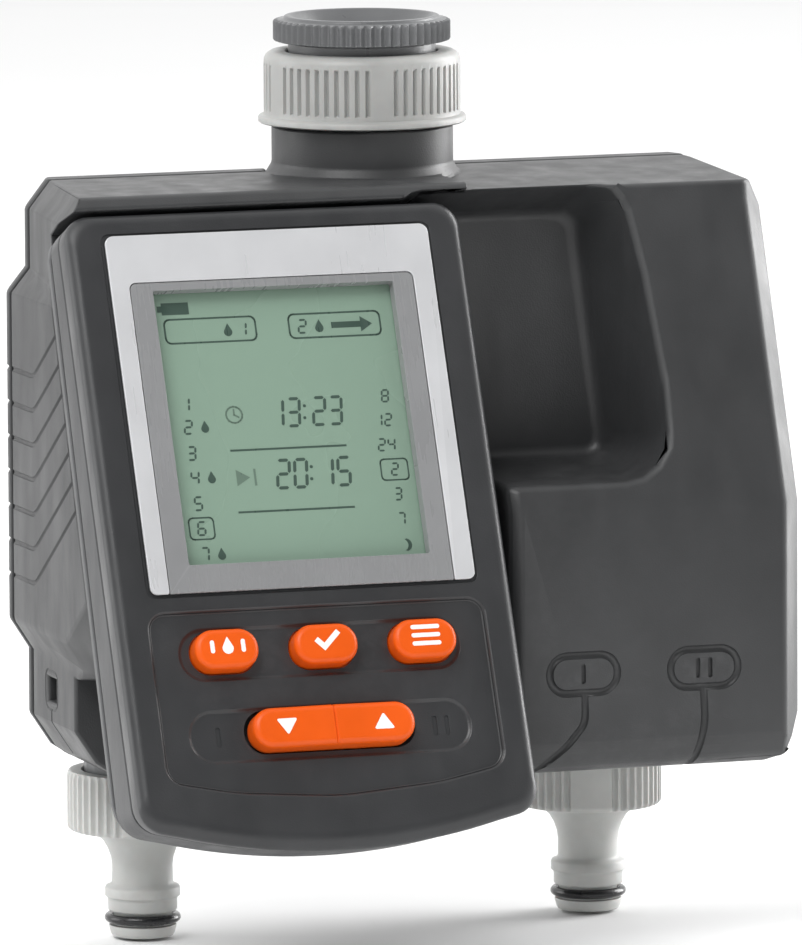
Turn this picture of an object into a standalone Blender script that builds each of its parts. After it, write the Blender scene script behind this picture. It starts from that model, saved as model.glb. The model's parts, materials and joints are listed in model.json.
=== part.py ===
"""Two-outlet garden tap timer with a tilted control unit that pulls off its housing.

Every length is in millimetres and is turned into metres by MM when a mesh is made.
X runs to the right, Y to the back and Z up. Heights are counted from the tips of the two
hose nipples, and one empty lowers everything so that the origin is the tap's seat.
"""
import math

import bmesh
import bpy
from mathutils import Matrix, Vector

MM = 0.001

# Heights above the nipple tips
TAP_SEAT = 197.0
HOUSING_BOTTOM = 41.5
HOUSING_TOP = 174.3
NECK_TOP = 184.9
OUTLET_NUT_TOP = 38.8

# Housing, seen from the front
SIDE_LEFT = 78.5
GRIP_LEFT = 83.0
SIDE_RIGHT = 84.5
PARTING = 4.6
PARTING_GAP = 1.6
REAR_EDGE = 8.0
REAR_RIM = 12.0
BACK = 25.0
REAR_TAPER = 7.0
WALL = 3.0
REAR_WALL = 2.5
DOCK_RIGHT = 13.5
BOX_FRONT = 63.4
LOWER_FRONT = -27.0
FACET_SIDE_SLOPE = 4.0 / 3.0
FACET_FRONT_SLOPE = 0.678
FACET_LIFT = math.sqrt(1.0 + FACET_SIDE_SLOPE ** 2 + FACET_FRONT_SLOPE ** 2)
RECESS_STEPS = 6
CHAMFER = 5.0

# Water path
OUTLET_X = 54.2
NECK_RADIUS = 20.8
SPIGOT_RADIUS = 12.5
THREAD_RADIUS = 13.2

# Control unit, in its own tilted frame: X right, Y into the unit, Z up the slope
TILT = math.radians(23.0)
UNIT_ORIGIN = (-36.8, -85.0, 60.0)
UNIT_HALF = 46.8
UNIT_TOP = 120.5
UNIT_LOW = -28.6
UNIT_ARC = 145.0
UNIT_WALL = 2.2
SHELL_SPLIT = 13.6
UNIT_BACK = 17.3
UNIT_TAPER = 0.043
SEAL_STEP = 1.0
HEAD_SINK = 2.4
BAY_LOW = 28.0
BAY_HIGH = 64.0
BUTTON_SPACING = 23.3
BUTTON_SHIFT = 0.6
BUTTON_WIDTH = 14.9
BUTTON_HEIGHT = 9.2
BUTTON_RISE = 17.8
ROCKER_WIDTH = 38.0
ROCKER_HEIGHT = 9.3
ROCKER_RISE = -0.9
ROCKER_PIVOT = 3.4
LCD_FRONT = 2.6
WINDOW_HALF = 32.8
WINDOW_LOW = 31.4
WINDOW_HIGH = 103.3
BEZEL_HALF = 38.2
BEZEL_TOP = 114.9

SCREW_PLACES = ((-66.0, 158.0), (71.0, 158.0), (73.0, 109.0), (-72.0, 110.0), (0.0, 52.3))
POST_RADIUS = 4.0
UNIT_SCREW_PLACES = ((-38.0, 110.0), (38.0, 110.0), (-38.0, -10.0), (38.0, -10.0))


# ---------------------------------------------------------------- scene and materials

def clear_scene():
    for obj in list(bpy.data.objects):
        bpy.data.objects.remove(obj, do_unlink=True)


def new_collection(name):
    collection = bpy.data.collections.new(name)
    bpy.context.scene.collection.children.link(collection)
    return collection


clear_scene()
PARTS = new_collection("drip_irrigation_timer")
CUTTERS = new_collection("cutters")


def plastic(name, colour, roughness=0.5, metallic=0.0):
    """A Principled material in the piece's own colour."""
    material = bpy.data.materials.new(name)
    material.use_nodes = True
    shader = material.node_tree.nodes["Principled BSDF"]
    shader.inputs["Base Color"].default_value = (*colour, 1.0)
    shader.inputs["Roughness"].default_value = roughness
    shader.inputs["Metallic"].default_value = metallic
    return material


ANTHRACITE = (0.062, 0.064, 0.067)
DARK_GREY = (0.14, 0.145, 0.15)
LIGHT_GREY = (0.56, 0.57, 0.56)
ORANGE = (0.9, 0.14, 0.01)
RUBBER = (0.012, 0.012, 0.013)
WHITE = (0.78, 0.78, 0.76)
STEEL = (0.55, 0.56, 0.57)


def new_empty(name, location, tilt=0.0, parent=None):
    empty = bpy.data.objects.new(name, None)
    empty.location = [value * MM for value in location]
    empty.rotation_euler = (tilt, 0.0, 0.0)
    empty.empty_display_size = 0.02
    empty.parent = parent
    PARTS.objects.link(empty)
    return empty


FRAME = new_empty("tap_seat_frame", (0.0, 0.0, -TAP_SEAT))
UNIT = new_empty("control_unit_frame", UNIT_ORIGIN, -TILT, FRAME)


# ---------------------------------------------------------------- modelling helpers

def place(obj, parent, material=None, location=(0.0, 0.0, 0.0)):
    """Put an object in its collection; without a material it is a cutter."""
    obj.parent = parent
    obj.location = [value * MM for value in location]
    if material is None:
        CUTTERS.objects.link(obj)
        obj.hide_render = True
        obj.display_type = "WIRE"
    else:
        PARTS.objects.link(obj)
        obj.data.materials.append(material)
        obj.data.shade_smooth()
        obj.data.set_sharp_from_angle(angle=math.radians(32.0))
    return obj


def from_bmesh(name, shape, parent, material=None, location=(0.0, 0.0, 0.0)):
    bmesh.ops.recalc_face_normals(shape, faces=shape.faces)
    mesh = bpy.data.meshes.new(name)
    shape.to_mesh(mesh)
    shape.free()
    return place(bpy.data.objects.new(name, mesh), parent, material, location)


def block(name, low, high, parent, material=None, bevel=0.0):
    """A box between two corners, its edges rounded when bevel is given."""
    shape = bmesh.new()
    size = [(b - a) * MM for a, b in zip(low, high)]
    centre = Vector([(a + b) / 2 * MM for a, b in zip(low, high)])
    bmesh.ops.create_cube(shape, size=1.0)
    bmesh.ops.scale(shape, vec=size, verts=shape.verts)
    bmesh.ops.translate(shape, vec=centre, verts=shape.verts)
    obj = from_bmesh(name, shape, parent, material)
    if bevel:
        rounding = obj.modifiers.new("rounding", "BEVEL")
        rounding.width = bevel * MM
        rounding.segments = 2
    return obj


def rod(name, radius, start, end, parent, material=None, sides=24):
    """A cylinder between two points."""
    a, b = Vector(start) * MM, Vector(end) * MM
    shape = bmesh.new()
    bmesh.ops.create_cone(shape, cap_ends=True, segments=sides, radius1=radius * MM,
                          radius2=radius * MM, depth=(b - a).length)
    turn = Vector((0, 0, 1)).rotation_difference(b - a).to_matrix().to_4x4()
    bmesh.ops.transform(shape, matrix=Matrix.Translation((a + b) / 2) @ turn, verts=shape.verts)
    return from_bmesh(name, shape, parent, material)


def loft(name, sections, parent, material=None):
    """A closed solid through loops of 3-D points that all have the same count."""
    shape = bmesh.new()
    loops = [[shape.verts.new(Vector(p) * MM) for p in section] for section in sections]
    count = len(loops[0])
    for first, second in zip(loops, loops[1:]):
        for i in range(count):
            j = (i + 1) % count
            shape.faces.new((first[i], first[j], second[j], second[i]))
    shape.faces.new(loops[0])
    shape.faces.new(list(reversed(loops[-1])))
    return from_bmesh(name, shape, parent, material)


def turned(name, profile, parent, material=None, x=0.0, steps=32, closed=True):
    """A profile of (radius, height) turned about an upright axis at x.

    The profile runs down the outer side; a closed one returns up the inner side.
    """
    shape = bmesh.new()
    verts = [shape.verts.new((radius * MM, 0.0, height * MM)) for radius, height in profile]
    for first, second in zip(verts, verts[1:]):
        shape.edges.new((first, second))
    if closed:
        shape.edges.new((verts[-1], verts[0]))
    mesh = bpy.data.meshes.new(name)
    shape.to_mesh(mesh)
    shape.free()
    obj = place(bpy.data.objects.new(name, mesh), parent, material, (x, 0.0, 0.0))
    screw = obj.modifiers.new("turn", "SCREW")
    screw.steps = steps
    screw.render_steps = steps
    screw.use_merge_vertices = True
    screw.merge_threshold = 0.00001
    screw.use_smooth_shade = True
    return obj


def flat_outline(name, points, low, high, parent, material=None):
    """A flat outline in X and Z with its thickness along Y, from low to high."""
    curve = bpy.data.curves.new(name, "CURVE")
    curve.dimensions = "2D"
    curve.fill_mode = "BOTH"
    curve.extrude = (high - low) / 2 * MM
    spline = curve.splines.new("POLY")
    spline.points.add(len(points) - 1)
    for point, (x, z) in zip(spline.points, points):
        point.co = (x * MM, z * MM, 0.0, 1.0)
    spline.use_cyclic_u = True
    guide = bpy.data.objects.new(name, curve)
    CUTTERS.objects.link(guide)
    graph = bpy.context.evaluated_depsgraph_get()
    mesh = bpy.data.meshes.new_from_object(guide.evaluated_get(graph))
    bpy.data.objects.remove(guide)
    shape = bmesh.new()
    shape.from_mesh(mesh)
    bmesh.ops.remove_doubles(shape, verts=shape.verts, dist=0.000001)
    upright = Matrix.Rotation(math.pi / 2, 4, "X")
    forward = Matrix.Translation((0, (low + high) / 2 * MM, 0))
    bmesh.ops.transform(shape, matrix=forward @ upright, verts=shape.verts)
    return from_bmesh(name, shape, parent, material)


def boolean(target, other, operation):
    """Cut, join or intersect a target with a shape that is then kept as a guide."""
    step = target.modifiers.new(operation.lower(), "BOOLEAN")
    step.operation = operation
    step.solver = "EXACT"
    step.object = other
    return target


def cut(target, *cutters):
    for cutter in cutters:
        boolean(target, cutter, "DIFFERENCE")
    return target


def join(target, *others):
    for other in others:
        boolean(target, other, "UNION")
    return target


# ---------------------------------------------------------------- outlines

def grown(points, distance):
    """The closed 2-D outline moved outward by a distance, with mitred corners."""
    area = sum(a[0] * b[1] - b[0] * a[1] for a, b in zip(points, points[1:] + points[:1]))
    side = 1.0 if area > 0 else -1.0
    result = []
    for i, (x, y) in enumerate(points):
        next_x, next_y = points[(i + 1) % len(points)]
        before = Vector((x - points[i - 1][0], y - points[i - 1][1])).normalized()
        after = Vector((next_x - x, next_y - y)).normalized()
        normal_a = Vector((before.y, -before.x)) * side
        normal_b = Vector((after.y, -after.x)) * side
        mitre = (normal_a + normal_b) / (1.0 + normal_a.dot(normal_b))
        result.append((x + mitre.x * distance, y + mitre.y * distance))
    return result


def corner_arc(centre, radius, start, end, steps):
    """Points on an arc, in degrees, both ends included."""
    points = []
    for i in range(steps + 1):
        angle = math.radians(start + (end - start) * i / steps)
        points.append((centre[0] + radius * math.cos(angle), centre[1] + radius * math.sin(angle)))
    return points


def rounded_rectangle(left, right, bottom, top, radius, steps=4):
    points = []
    low, high = bottom + radius, top - radius
    near, far = left + radius, right - radius
    for x, z, start in ((far, high, 0), (near, high, 90), (near, low, 180), (far, low, 270)):
        points += corner_arc((x, z), radius, start, start + 90, steps)
    return points


def pill(x, z, width, height, steps=4):
    return rounded_rectangle(x - width / 2, x + width / 2, z - height / 2, z + height / 2,
                             height / 2 - 0.01, steps)


def housing_outline(flare=0.0):
    """Front view of the housing; the flare widens the upper left towards the front."""
    top_left = -73.5 - flare * 5.5
    upper_left = -SIDE_LEFT - flare * (GRIP_LEFT - SIDE_LEFT - 0.02)
    return [(top_left, HOUSING_TOP), (80.5, HOUSING_TOP), (SIDE_RIGHT, 166.5), (SIDE_RIGHT, 53.0),
            (80.5, 43.5), (76.0, HOUSING_BOTTOM), (-69.0, HOUSING_BOTTOM), (-73.5, 44.5),
            (-SIDE_LEFT, 52.0), (-SIDE_LEFT, 67.0), (-GRIP_LEFT, 74.0), (-GRIP_LEFT, 149.0),
            (upper_left, 154.5), (upper_left, 168.0)]


def pinched(points, amount):
    """The outline with its left and right sides moved towards the middle."""
    return [(x - math.copysign(amount, x) if abs(x) > 70.0 else x, z) for x, z in points]


def on_plane(points, y):
    return [(x, y, z) for x, z in points]


# ---------------------------------------------------------------- housing

def dock_profile():
    """Side view, as (Y, Z), of the free space in front of the dock, counter-clockwise."""
    return [(-110.0, 30.0), (LOWER_FRONT, 30.0), (LOWER_FRONT, 64.0), (-42.0, 65.5), (-56.6, 69.8),
            (-20.9, 164.6), (-37.2, 171.6), (-34.5, 174.5), (-34.5, 190.0), (-110.0, 190.0)]


def box_profile():
    """Side view, as (Y, Z), of the free space in front of the right-hand box."""
    return [(-110.0, 30.0), (-57.0, 30.0), (-57.0, HOUSING_BOTTOM - 0.1), (-61.4, 43.6),
            (-BOX_FRONT, 48.0), (-BOX_FRONT, 101.3), (-37.9, 168.3), (-37.0, 172.5),
            (10.0, 174.8), (10.0, 190.0), (-110.0, 190.0)]


def across(profile, x, back=0.0):
    return [(x, y + back, z) for y, z in profile]


def recess_cutter(name, wall):
    """The finger recess beside the control unit: a tapered pocket, open to the front and top.

    Its right side leans to the left going up at the floor and to the right at the mouth.
    The turn between them is spread over even steps in depth.
    """
    def loop(y, left, right, bottom, top, radius, lean):
        points = rounded_rectangle(left - wall, right + wall, bottom - wall, top + wall,
                                   radius + wall)
        leaning = [(x + lean * (x - left) / (right - left) * (z - bottom) / (top - bottom), z)
                   for x, z in points]
        return on_plane(leaning, y + wall)
    floor = (-22.0, -4.0, 50.7, 109.0, 165.5, 5.0, -7.7)
    mouth = (-65.5, -6.0, 53.5, 107.4, 189.5, 12.0, 9.0)
    sections = []
    for step in range(RECESS_STEPS + 1):
        share = step / RECESS_STEPS
        sections.append(loop(*[a + (b - a) * share for a, b in zip(floor, mouth)]))
    return loft(name, sections, FRAME)


def battery_bay(name, clearance, deep=36.2):
    """The bulge at the unit's back that holds the battery, as a solid in the unit's frame."""
    low = (-30.0 - clearance, 18.6, BAY_LOW - clearance)
    high = (30.0 + clearance, deep + clearance, BAY_HIGH + clearance)
    return block(name, low, high, UNIT)


def cut_front(target, wall):
    """Take away the space in front of the housing, grown by a wall thickness."""
    dock = grown(dock_profile(), wall)
    box = grown(box_profile(), wall)
    name = target.name
    dock_space = loft(name + "_dock_space",
                      [across(dock, -96.0), across(dock, DOCK_RIGHT + wall)], FRAME)
    box_space = loft(name + "_box_space",
                     [across(box, DOCK_RIGHT - 0.5, 3.5), across(box, DOCK_RIGHT + 0.9, 1.0),
                      across(box, DOCK_RIGHT + 3.2), across(box, SIDE_RIGHT - CHAMFER),
                      across(box, SIDE_RIGHT + 5.0, 2 * CHAMFER)], FRAME)
    cut(target, dock_space, box_space, recess_cutter(name + "_recess", wall),
        battery_bay(name + "_bay_pocket", 0.8 + wall))


def corner_facet(name, wall):
    """The space under the slanted lower front corner of the grip, grown by a wall thickness."""
    rear = LOWER_FRONT + wall

    def section(x):
        def height(y):
            return (54.0 - (x + 72.0) * FACET_SIDE_SLOPE + (LOWER_FRONT - y) * FACET_FRONT_SLOPE
                    + wall * FACET_LIFT)
        return [(x, rear, 34.0), (x, rear, height(rear)), (x, -64.0, height(-64.0)),
                (x, -64.0, 34.0)]
    return loft(name, [section(-90.0), section(-72.0 + wall)], FRAME)


def screw_rib(index, x, z):
    """A rib that ties a screw boss to a wall: the floor for the middle one, else a side."""
    name = f"screw_rib_{index}"
    end = PARTING - 1.0
    if x == 0.0:
        return block(name, (-1.0, -19.0, HOUSING_BOTTOM + 1.0), (1.0, end, z - 2.5), FRAME)
    left_side = GRIP_LEFT if 74.0 < z < 149.0 else SIDE_LEFT
    wall = SIDE_RIGHT - 1.0 if x > 0 else 1.0 - left_side
    low, high = sorted((x + math.copysign(2.5, x), wall))
    return block(name, (low, -19.0, z - 1.0), (high, end, z + 1.0), FRAME)


def front_housing():
    material = plastic("front_housing", ANTHRACITE, 0.42)
    body = loft("front_housing",
                [on_plane(housing_outline(), PARTING), on_plane(housing_outline(1.0), -36.0),
                 on_plane(housing_outline(1.0), -66.0)], FRAME, material)
    cut_front(body, 0.0)
    cut(body, corner_facet("grip_facet_cutter", 0.0))
    neck = turned("neck_guide",
                  [(0.0, NECK_TOP), (NECK_RADIUS, NECK_TOP), (NECK_RADIUS, HOUSING_TOP + 2.0),
                   (NECK_RADIUS + 1.6, HOUSING_TOP - 0.6), (NECK_RADIUS + 1.6, 158.0), (0.0, 158.0)],
                  FRAME, steps=36, closed=False)
    hollow = loft("front_hollow",
                  [on_plane(grown(housing_outline(), -WALL), PARTING + 1.0),
                   on_plane(grown(housing_outline(1.0), -WALL), -36.0),
                   on_plane(grown(housing_outline(1.0), -WALL), -64.0)], FRAME)
    cut_front(hollow, WALL)
    cut(hollow, corner_facet("hollow_facet_cutter", WALL))
    cut(body, hollow)
    join(body, neck)
    for index, (x, z) in enumerate(SCREW_PLACES):
        join(body, rod(f"screw_boss_{index}", 3.6, (x, -20.0, z), (x, PARTING, z), FRAME,
                       sides=16),
             screw_rib(index, x, z))
        cut(body, rod(f"screw_pilot_{index}", 1.8, (x, -12.0, z), (x, PARTING + 1.0, z), FRAME,
                      sides=12))
    cut(body, rod("inlet_bore", SPIGOT_RADIUS + 0.5, (0, 0, 150.0), (0, 0, 195.0), FRAME,
                  sides=32))
    for side in (-1, 1):
        cut(body, rod(f"outlet_bore_{side}", THREAD_RADIUS + 0.5, (side * OUTLET_X, 0, 35.0),
                      (side * OUTLET_X, 0, 50.0), FRAME, sides=32))
    cut(body, block("sensor_hole", (-86.0, -12.6, 56.6), (-70.0, -6.2, 62.0), FRAME),
        block("contact_opening", (-8.4, 15.0, 77.6), (8.4, 30.0, 86.4), UNIT))


def rear_housing():
    material = plastic("rear_housing", ANTHRACITE, 0.45)
    start = PARTING + PARTING_GAP
    outline = housing_outline()
    body = loft("rear_housing",
                [on_plane(outline, start), on_plane(outline, REAR_EDGE),
                 on_plane(pinched(outline, 1.5), REAR_RIM),
                 on_plane(pinched(grown(outline, -2.0), 0.3), REAR_RIM + 2.0),
                 on_plane(grown(outline, -REAR_TAPER), BACK)], FRAME, material)
    hollow = loft("rear_hollow",
                  [on_plane(grown(outline, -REAR_WALL), start - 1.0),
                   on_plane(pinched(grown(outline, -REAR_WALL), 1.6), REAR_RIM + 0.6),
                   on_plane(grown(outline, -REAR_TAPER - 1.2), BACK - REAR_WALL)], FRAME)
    for index, (x, z) in enumerate(SCREW_PLACES):
        cut(hollow, rod(f"rear_post_{index}", POST_RADIUS, (x, start - 3.0, z), (x, BACK, z),
                        FRAME, sides=16))
    cut(body, hollow)
    for index, (x, z) in enumerate(SCREW_PLACES):
        cut(body, rod(f"head_well_{index}", 3.2, (x, 10.0, z), (x, BACK + 3.0, z), FRAME,
                      sides=16),
            rod(f"shank_hole_{index}", 1.8, (x, start - 1.0, z), (x, 11.0, z), FRAME, sides=12))
    cut(body, rod("neck_notch", NECK_RADIUS + 2.0, (0, 0, 157.5), (0, 0, 190.0), FRAME,
                  sides=48))
    for side in (-1, 1):
        cut(body, rod(f"rear_outlet_notch_{side}", THREAD_RADIUS + 0.5, (side * OUTLET_X, 0, 35.0),
                      (side * OUTLET_X, 0, 50.0), FRAME, sides=32))


def seal_run(name, *windows):
    """One run of the sealing cord: what the ring has left after its cutting blocks."""
    outline = housing_outline()
    seal = flat_outline(f"housing_seal_{name}", grown(outline, -0.9), PARTING + 0.4,
                        PARTING + 1.2, FRAME, plastic(f"housing_seal_{name}", RUBBER, 0.6))
    cut(seal, flat_outline(f"seal_inside_{name}", grown(outline, -2.1), PARTING, PARTING + 2.0,
                           FRAME))
    for index, (left, right, bottom, top) in enumerate(windows):
        cut(seal, block(f"seal_end_{name}_{index}", (left, PARTING - 1.0, bottom),
                        (right, PARTING + 3.0, top), FRAME))


def housing_seals():
    """The sealing cord along the parting line, between the neck and the two outlets."""
    inner = OUTLET_X - THREAD_RADIUS - 0.6
    outer = OUTLET_X + THREAD_RADIUS + 0.6
    neck = NECK_RADIUS + 2.0
    seal_run("left", (-outer, 90.0, 30.0, 60.0), (-neck, 90.0, 59.0, 190.0))
    seal_run("right", (-90.0, outer, 30.0, 60.0), (-90.0, neck, 59.0, 190.0))
    seal_run("lower", (-90.0, 90.0, 60.0, 190.0), (-90.0, -inner, 30.0, 61.0),
             (inner, 90.0, 30.0, 61.0))


def screw(name, head_radius, shank_radius, length, start, direction, parent):
    """A pan-head screw: head at start, shank along direction, cross recess in the head."""
    material = plastic(name, STEEL, 0.35, 0.9)
    a, step = Vector(start), Vector(direction)
    body = rod(name, head_radius, a - step * 1.9, a, parent, material, sides=16)
    join(body, rod(name + "_shank", shank_radius, a - step * 0.2, a + step * length, parent,
                   sides=10))
    slot = rod(name + "_recess", 1.0, a - step * 2.4, a - step * 1.0, parent, sides=4)
    cut(body, slot)


def housing_screws():
    for index, (x, z) in enumerate(SCREW_PLACES):
        screw(f"housing_screw_{index + 1}", 2.8, 1.4, 16.0, (x, 10.3, z), (0, -1, 0), FRAME)


def sensor_socket():
    """The socket for a soil sensor lead, behind its opening in the left side."""
    body = block("sensor_socket", (-75.2, -14.2, 55.0), (-71.2, -4.6, 63.6), FRAME,
                 plastic("sensor_socket", RUBBER, 0.4))
    cut(body, block("sensor_socket_well", (-77.0, -12.4, 56.9), (-72.4, -6.4, 61.7), FRAME))


# ---------------------------------------------------------------- inlet

def ribbed_outline(outer, groove, groups, ribs, filled):
    """Points round a knurled ring: each group of ribs takes a share of its sector."""
    points = []
    for group in range(groups):
        for rib in range(ribs):
            start = (group + filled * rib / ribs) / groups * 360.0
            step = filled / ribs / groups * 360.0
            for share, radius in ((0.0, outer), (0.5, outer), (0.62, groove), (0.88, groove)):
                angle = math.radians(start + share * step)
                points.append((radius * math.cos(angle), radius * math.sin(angle)))
        smooth_start = (group + filled) / groups * 360.0
        smooth_step = (1.0 - filled) / groups * 360.0
        for i in range(4 if filled < 1.0 else 0):
            angle = math.radians(smooth_start + smooth_step * i / 4)
            points.append((outer * math.cos(angle), outer * math.sin(angle)))
    return points


def knurled_ring(name, points, low, high, x, material=None):
    loops = [[(px + x, py, z) for px, py in points] for z in (low, high)]
    return loft(name, loops, FRAME, material)


def union_nut():
    nut = knurled_ring("union_nut", ribbed_outline(22.5, 21.5, 5, 5, 0.78), 187.2, 201.9, 0.0,
                       plastic("union_nut", LIGHT_GREY, 0.4))
    collar = [(0.0, 188.4), (22.6, 188.4), (23.8, 187.6), (23.8, 185.5), (0.0, 185.5)]
    join(nut, turned("nut_collar", collar, FRAME, steps=32, closed=False))
    cut(nut, rod("nut_thread", 17.3, (0, 0, 188.0), (0, 0, 210.0), FRAME, sides=28),
        rod("nut_lip", SPIGOT_RADIUS + 0.8, (0, 0, 180.0), (0, 0, 190.0), FRAME, sides=24))


def inlet_adapter():
    """The reducer that screws into the union nut and takes the tap's own thread."""
    grip = knurled_ring("inlet_adapter", ribbed_outline(20.3, 19.2, 1, 30, 1.0), 204.2, 209.0,
                        0.0, plastic("inlet_adapter", DARK_GREY, 0.45))
    join(grip, rod("adapter_thread", 16.9, (0, 0, 192.6), (0, 0, 206.0), FRAME, sides=28),
         rod("adapter_lip", 17.8, (0, 0, 206.0), (0, 0, 209.9), FRAME, sides=28))
    mouth = [(0.0, 212.0), (16.2, 212.0), (16.2, 209.4), (13.2, 206.6), (0.0, 206.6)]
    cut(grip, rod("adapter_socket", 13.2, (0, 0, TAP_SEAT - 2.3), (0, 0, 207.5), FRAME,
                  sides=32),
        turned("adapter_mouth", mouth, FRAME, steps=32, closed=False),
        rod("adapter_bore", 9.4, (0, 0, 190.0), (0, 0, 200.0), FRAME, sides=24))


def ring(name, inner, outer, low, high, material, x=0.0, steps=24):
    section = [(outer, high), (outer, low), (inner, low), (inner, high)]
    turned(name, section, FRAME, material, x, steps)


def inlet_seals_and_filter():
    ring("tap_washer", 8.6, 12.9, TAP_SEAT - 2.0, TAP_SEAT, plastic("tap_washer", RUBBER, 0.6))
    ring("inlet_washer", 10.4, 16.6, 190.7, 192.3, plastic("inlet_washer", RUBBER, 0.6))
    turned("inlet_filter", [(9.9, 191.6), (9.9, 190.7), (8.2, 190.6), (7.4, 172.0), (0.0, 172.0),
                            (0.0, 173.0), (6.6, 173.0), (7.4, 191.6)],
           FRAME, plastic("inlet_filter", WHITE, 0.5), closed=True, steps=16)


# ---------------------------------------------------------------- water path inside

def inlet_manifold():
    """The spigot in the neck, the pipe down and the cross pipe that feeds both valves."""
    body = turned("inlet_manifold",
                  [(0.0, 190.4), (15.8, 190.4), (15.8, 188.8), (SPIGOT_RADIUS, 188.3),
                   (SPIGOT_RADIUS, 158.0), (8.0, 152.0), (8.0, 57.0), (0.0, 57.0)],
                  FRAME, plastic("inlet_manifold", DARK_GREY, 0.4), closed=False, steps=24)
    reach = OUTLET_X - 14.0
    join(body, rod("cross_pipe", 5.0, (-reach, 0, 62.0), (reach, 0, 62.0), FRAME, sides=20))
    cut(body, rod("spigot_bore", 8.8, (0, 0, 168.0), (0, 0, 192.0), FRAME, sides=24),
        rod("down_bore", 5.2, (0, 0, 59.0), (0, 0, 170.0), FRAME, sides=20),
        rod("cross_bore", 3.4, (-reach - 1, 0, 62.0), (reach + 1, 0, 62.0), FRAME, sides=16))


def valve(side, name):
    """One pilot valve: body with seat, diaphragm, bonnet, coil, plunger and spring."""
    x = side * OUTLET_X
    body = turned(f"valve_body_{name}",
                  [(15.0, 80.0), (15.0, 46.8), (13.6, 44.9), (THREAD_RADIUS, 44.8),
                   (THREAD_RADIUS, 28.0), (6.0, 28.0), (6.0, 76.0), (7.8, 76.0), (7.8, 50.0),
                   (12.4, 50.0), (12.4, 80.0)],
                  FRAME, plastic(f"valve_body_{name}", DARK_GREY, 0.4), x, 20)
    inner = side * (OUTLET_X - 16.5)
    outer = side * (OUTLET_X - 10.5)
    cut(body, rod(f"valve_port_{name}", 5.4, (inner, 0, 62.0), (outer, 0, 62.0), FRAME,
                  sides=16))
    turned(f"diaphragm_{name}",
           [(0.0, 82.2), (15.0, 82.2), (15.0, 80.3), (8.6, 80.3), (8.0, 76.3), (0.0, 76.3)],
           FRAME, plastic(f"diaphragm_{name}", RUBBER, 0.6), x, 20, closed=False)
    turned(f"valve_bonnet_{name}",
           [(0.0, 122.4), (5.0, 122.4), (5.0, 95.6), (15.0, 95.4), (15.0, 82.5), (10.5, 82.5),
            (10.5, 87.0), (3.7, 89.0), (3.7, 120.4), (0.0, 120.4)],
           FRAME, plastic(f"valve_bonnet_{name}", DARK_GREY, 0.4), x, 20, closed=False)
    turned(f"solenoid_coil_{name}",
           [(10.6, 119.4), (12.0, 118.0), (12.0, 97.0), (10.6, 95.8), (5.3, 95.8), (5.3, 119.4)],
           FRAME, plastic(f"solenoid_coil_{name}", (0.45, 0.1, 0.03), 0.45), x, 20)
    turned(f"plunger_{name}", [(0.0, 107.0), (3.3, 107.0), (3.3, 84.0), (2.0, 82.6), (0.0, 82.6)],
           FRAME, plastic(f"plunger_{name}", STEEL, 0.3, 0.9), x, 12, closed=False)
    plunger_spring(f"plunger_spring_{name}", x, 107.4, 120.0)


def plunger_spring(name, x, low, high):
    """A small compression spring above the plunger."""
    turns, per_turn, wire, radius = 5, 7, 0.35, 2.6
    count = turns * per_turn
    curve = bpy.data.curves.new(name, "CURVE")
    curve.dimensions = "3D"
    curve.bevel_depth = wire * MM
    curve.bevel_resolution = 0
    curve.use_fill_caps = True
    spline = curve.splines.new("POLY")
    spline.points.add(count)
    for i, point in enumerate(spline.points):
        angle = 2 * math.pi * i / per_turn
        height = low + wire + (high - low - 2 * wire) * i / count
        point.co = (radius * math.cos(angle) * MM, radius * math.sin(angle) * MM, height * MM, 1.0)
    obj = bpy.data.objects.new(name, curve)
    obj.parent = FRAME
    obj.location = (x * MM, 0.0, 0.0)
    PARTS.objects.link(obj)
    curve.materials.append(plastic(name, STEEL, 0.3, 1.0))


def outlet(side, name):
    """The screwed hose nipple with its washer and O-ring."""
    x = side * OUTLET_X
    material = plastic(f"outlet_connector_{name}", LIGHT_GREY, 0.4)
    nipple = turned(f"outlet_connector_{name}",
                    [(0.0, 26.0), (15.6, 26.0), (15.2, 24.8), (10.6, 24.0), (8.6, 21.8), (7.2, 18.6),
                     (6.96, 17.0), (6.96, 12.2), (8.6, 11.4), (8.6, 9.4), (7.9, 8.8), (7.9, 6.0),
                     (6.6, 5.9), (6.6, 2.9), (7.8, 2.8), (7.2, 0.0), (0.0, 0.0)],
                    FRAME, material, x, 20, closed=False)
    join(nipple, knurled_ring(f"nut_grip_{name}", ribbed_outline(17.1, 16.2, 1, 24, 1.0), 24.8,
                              OUTLET_NUT_TOP, x))
    cut(nipple, rod(f"nut_socket_{name}", THREAD_RADIUS + 0.4, (x, 0, 27.0), (x, 0, 45.0), FRAME,
                    sides=32),
        rod(f"nipple_bore_{name}", 5.2, (x, 0, -2.0), (x, 0, 30.0), FRAME, sides=20))
    washer, o_ring = f"outlet_washer_{name}", f"outlet_o_ring_{name}"
    ring(washer, 7.0, 13.0, 27.3, 27.7, plastic(washer, RUBBER, 0.6), x, 20)
    section = corner_arc((7.75, 4.4), 1.0, 90, -210, 5)
    turned(o_ring, section, FRAME, plastic(o_ring, RUBBER, 0.15), x, 20)


# ---------------------------------------------------------------- control unit

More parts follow.
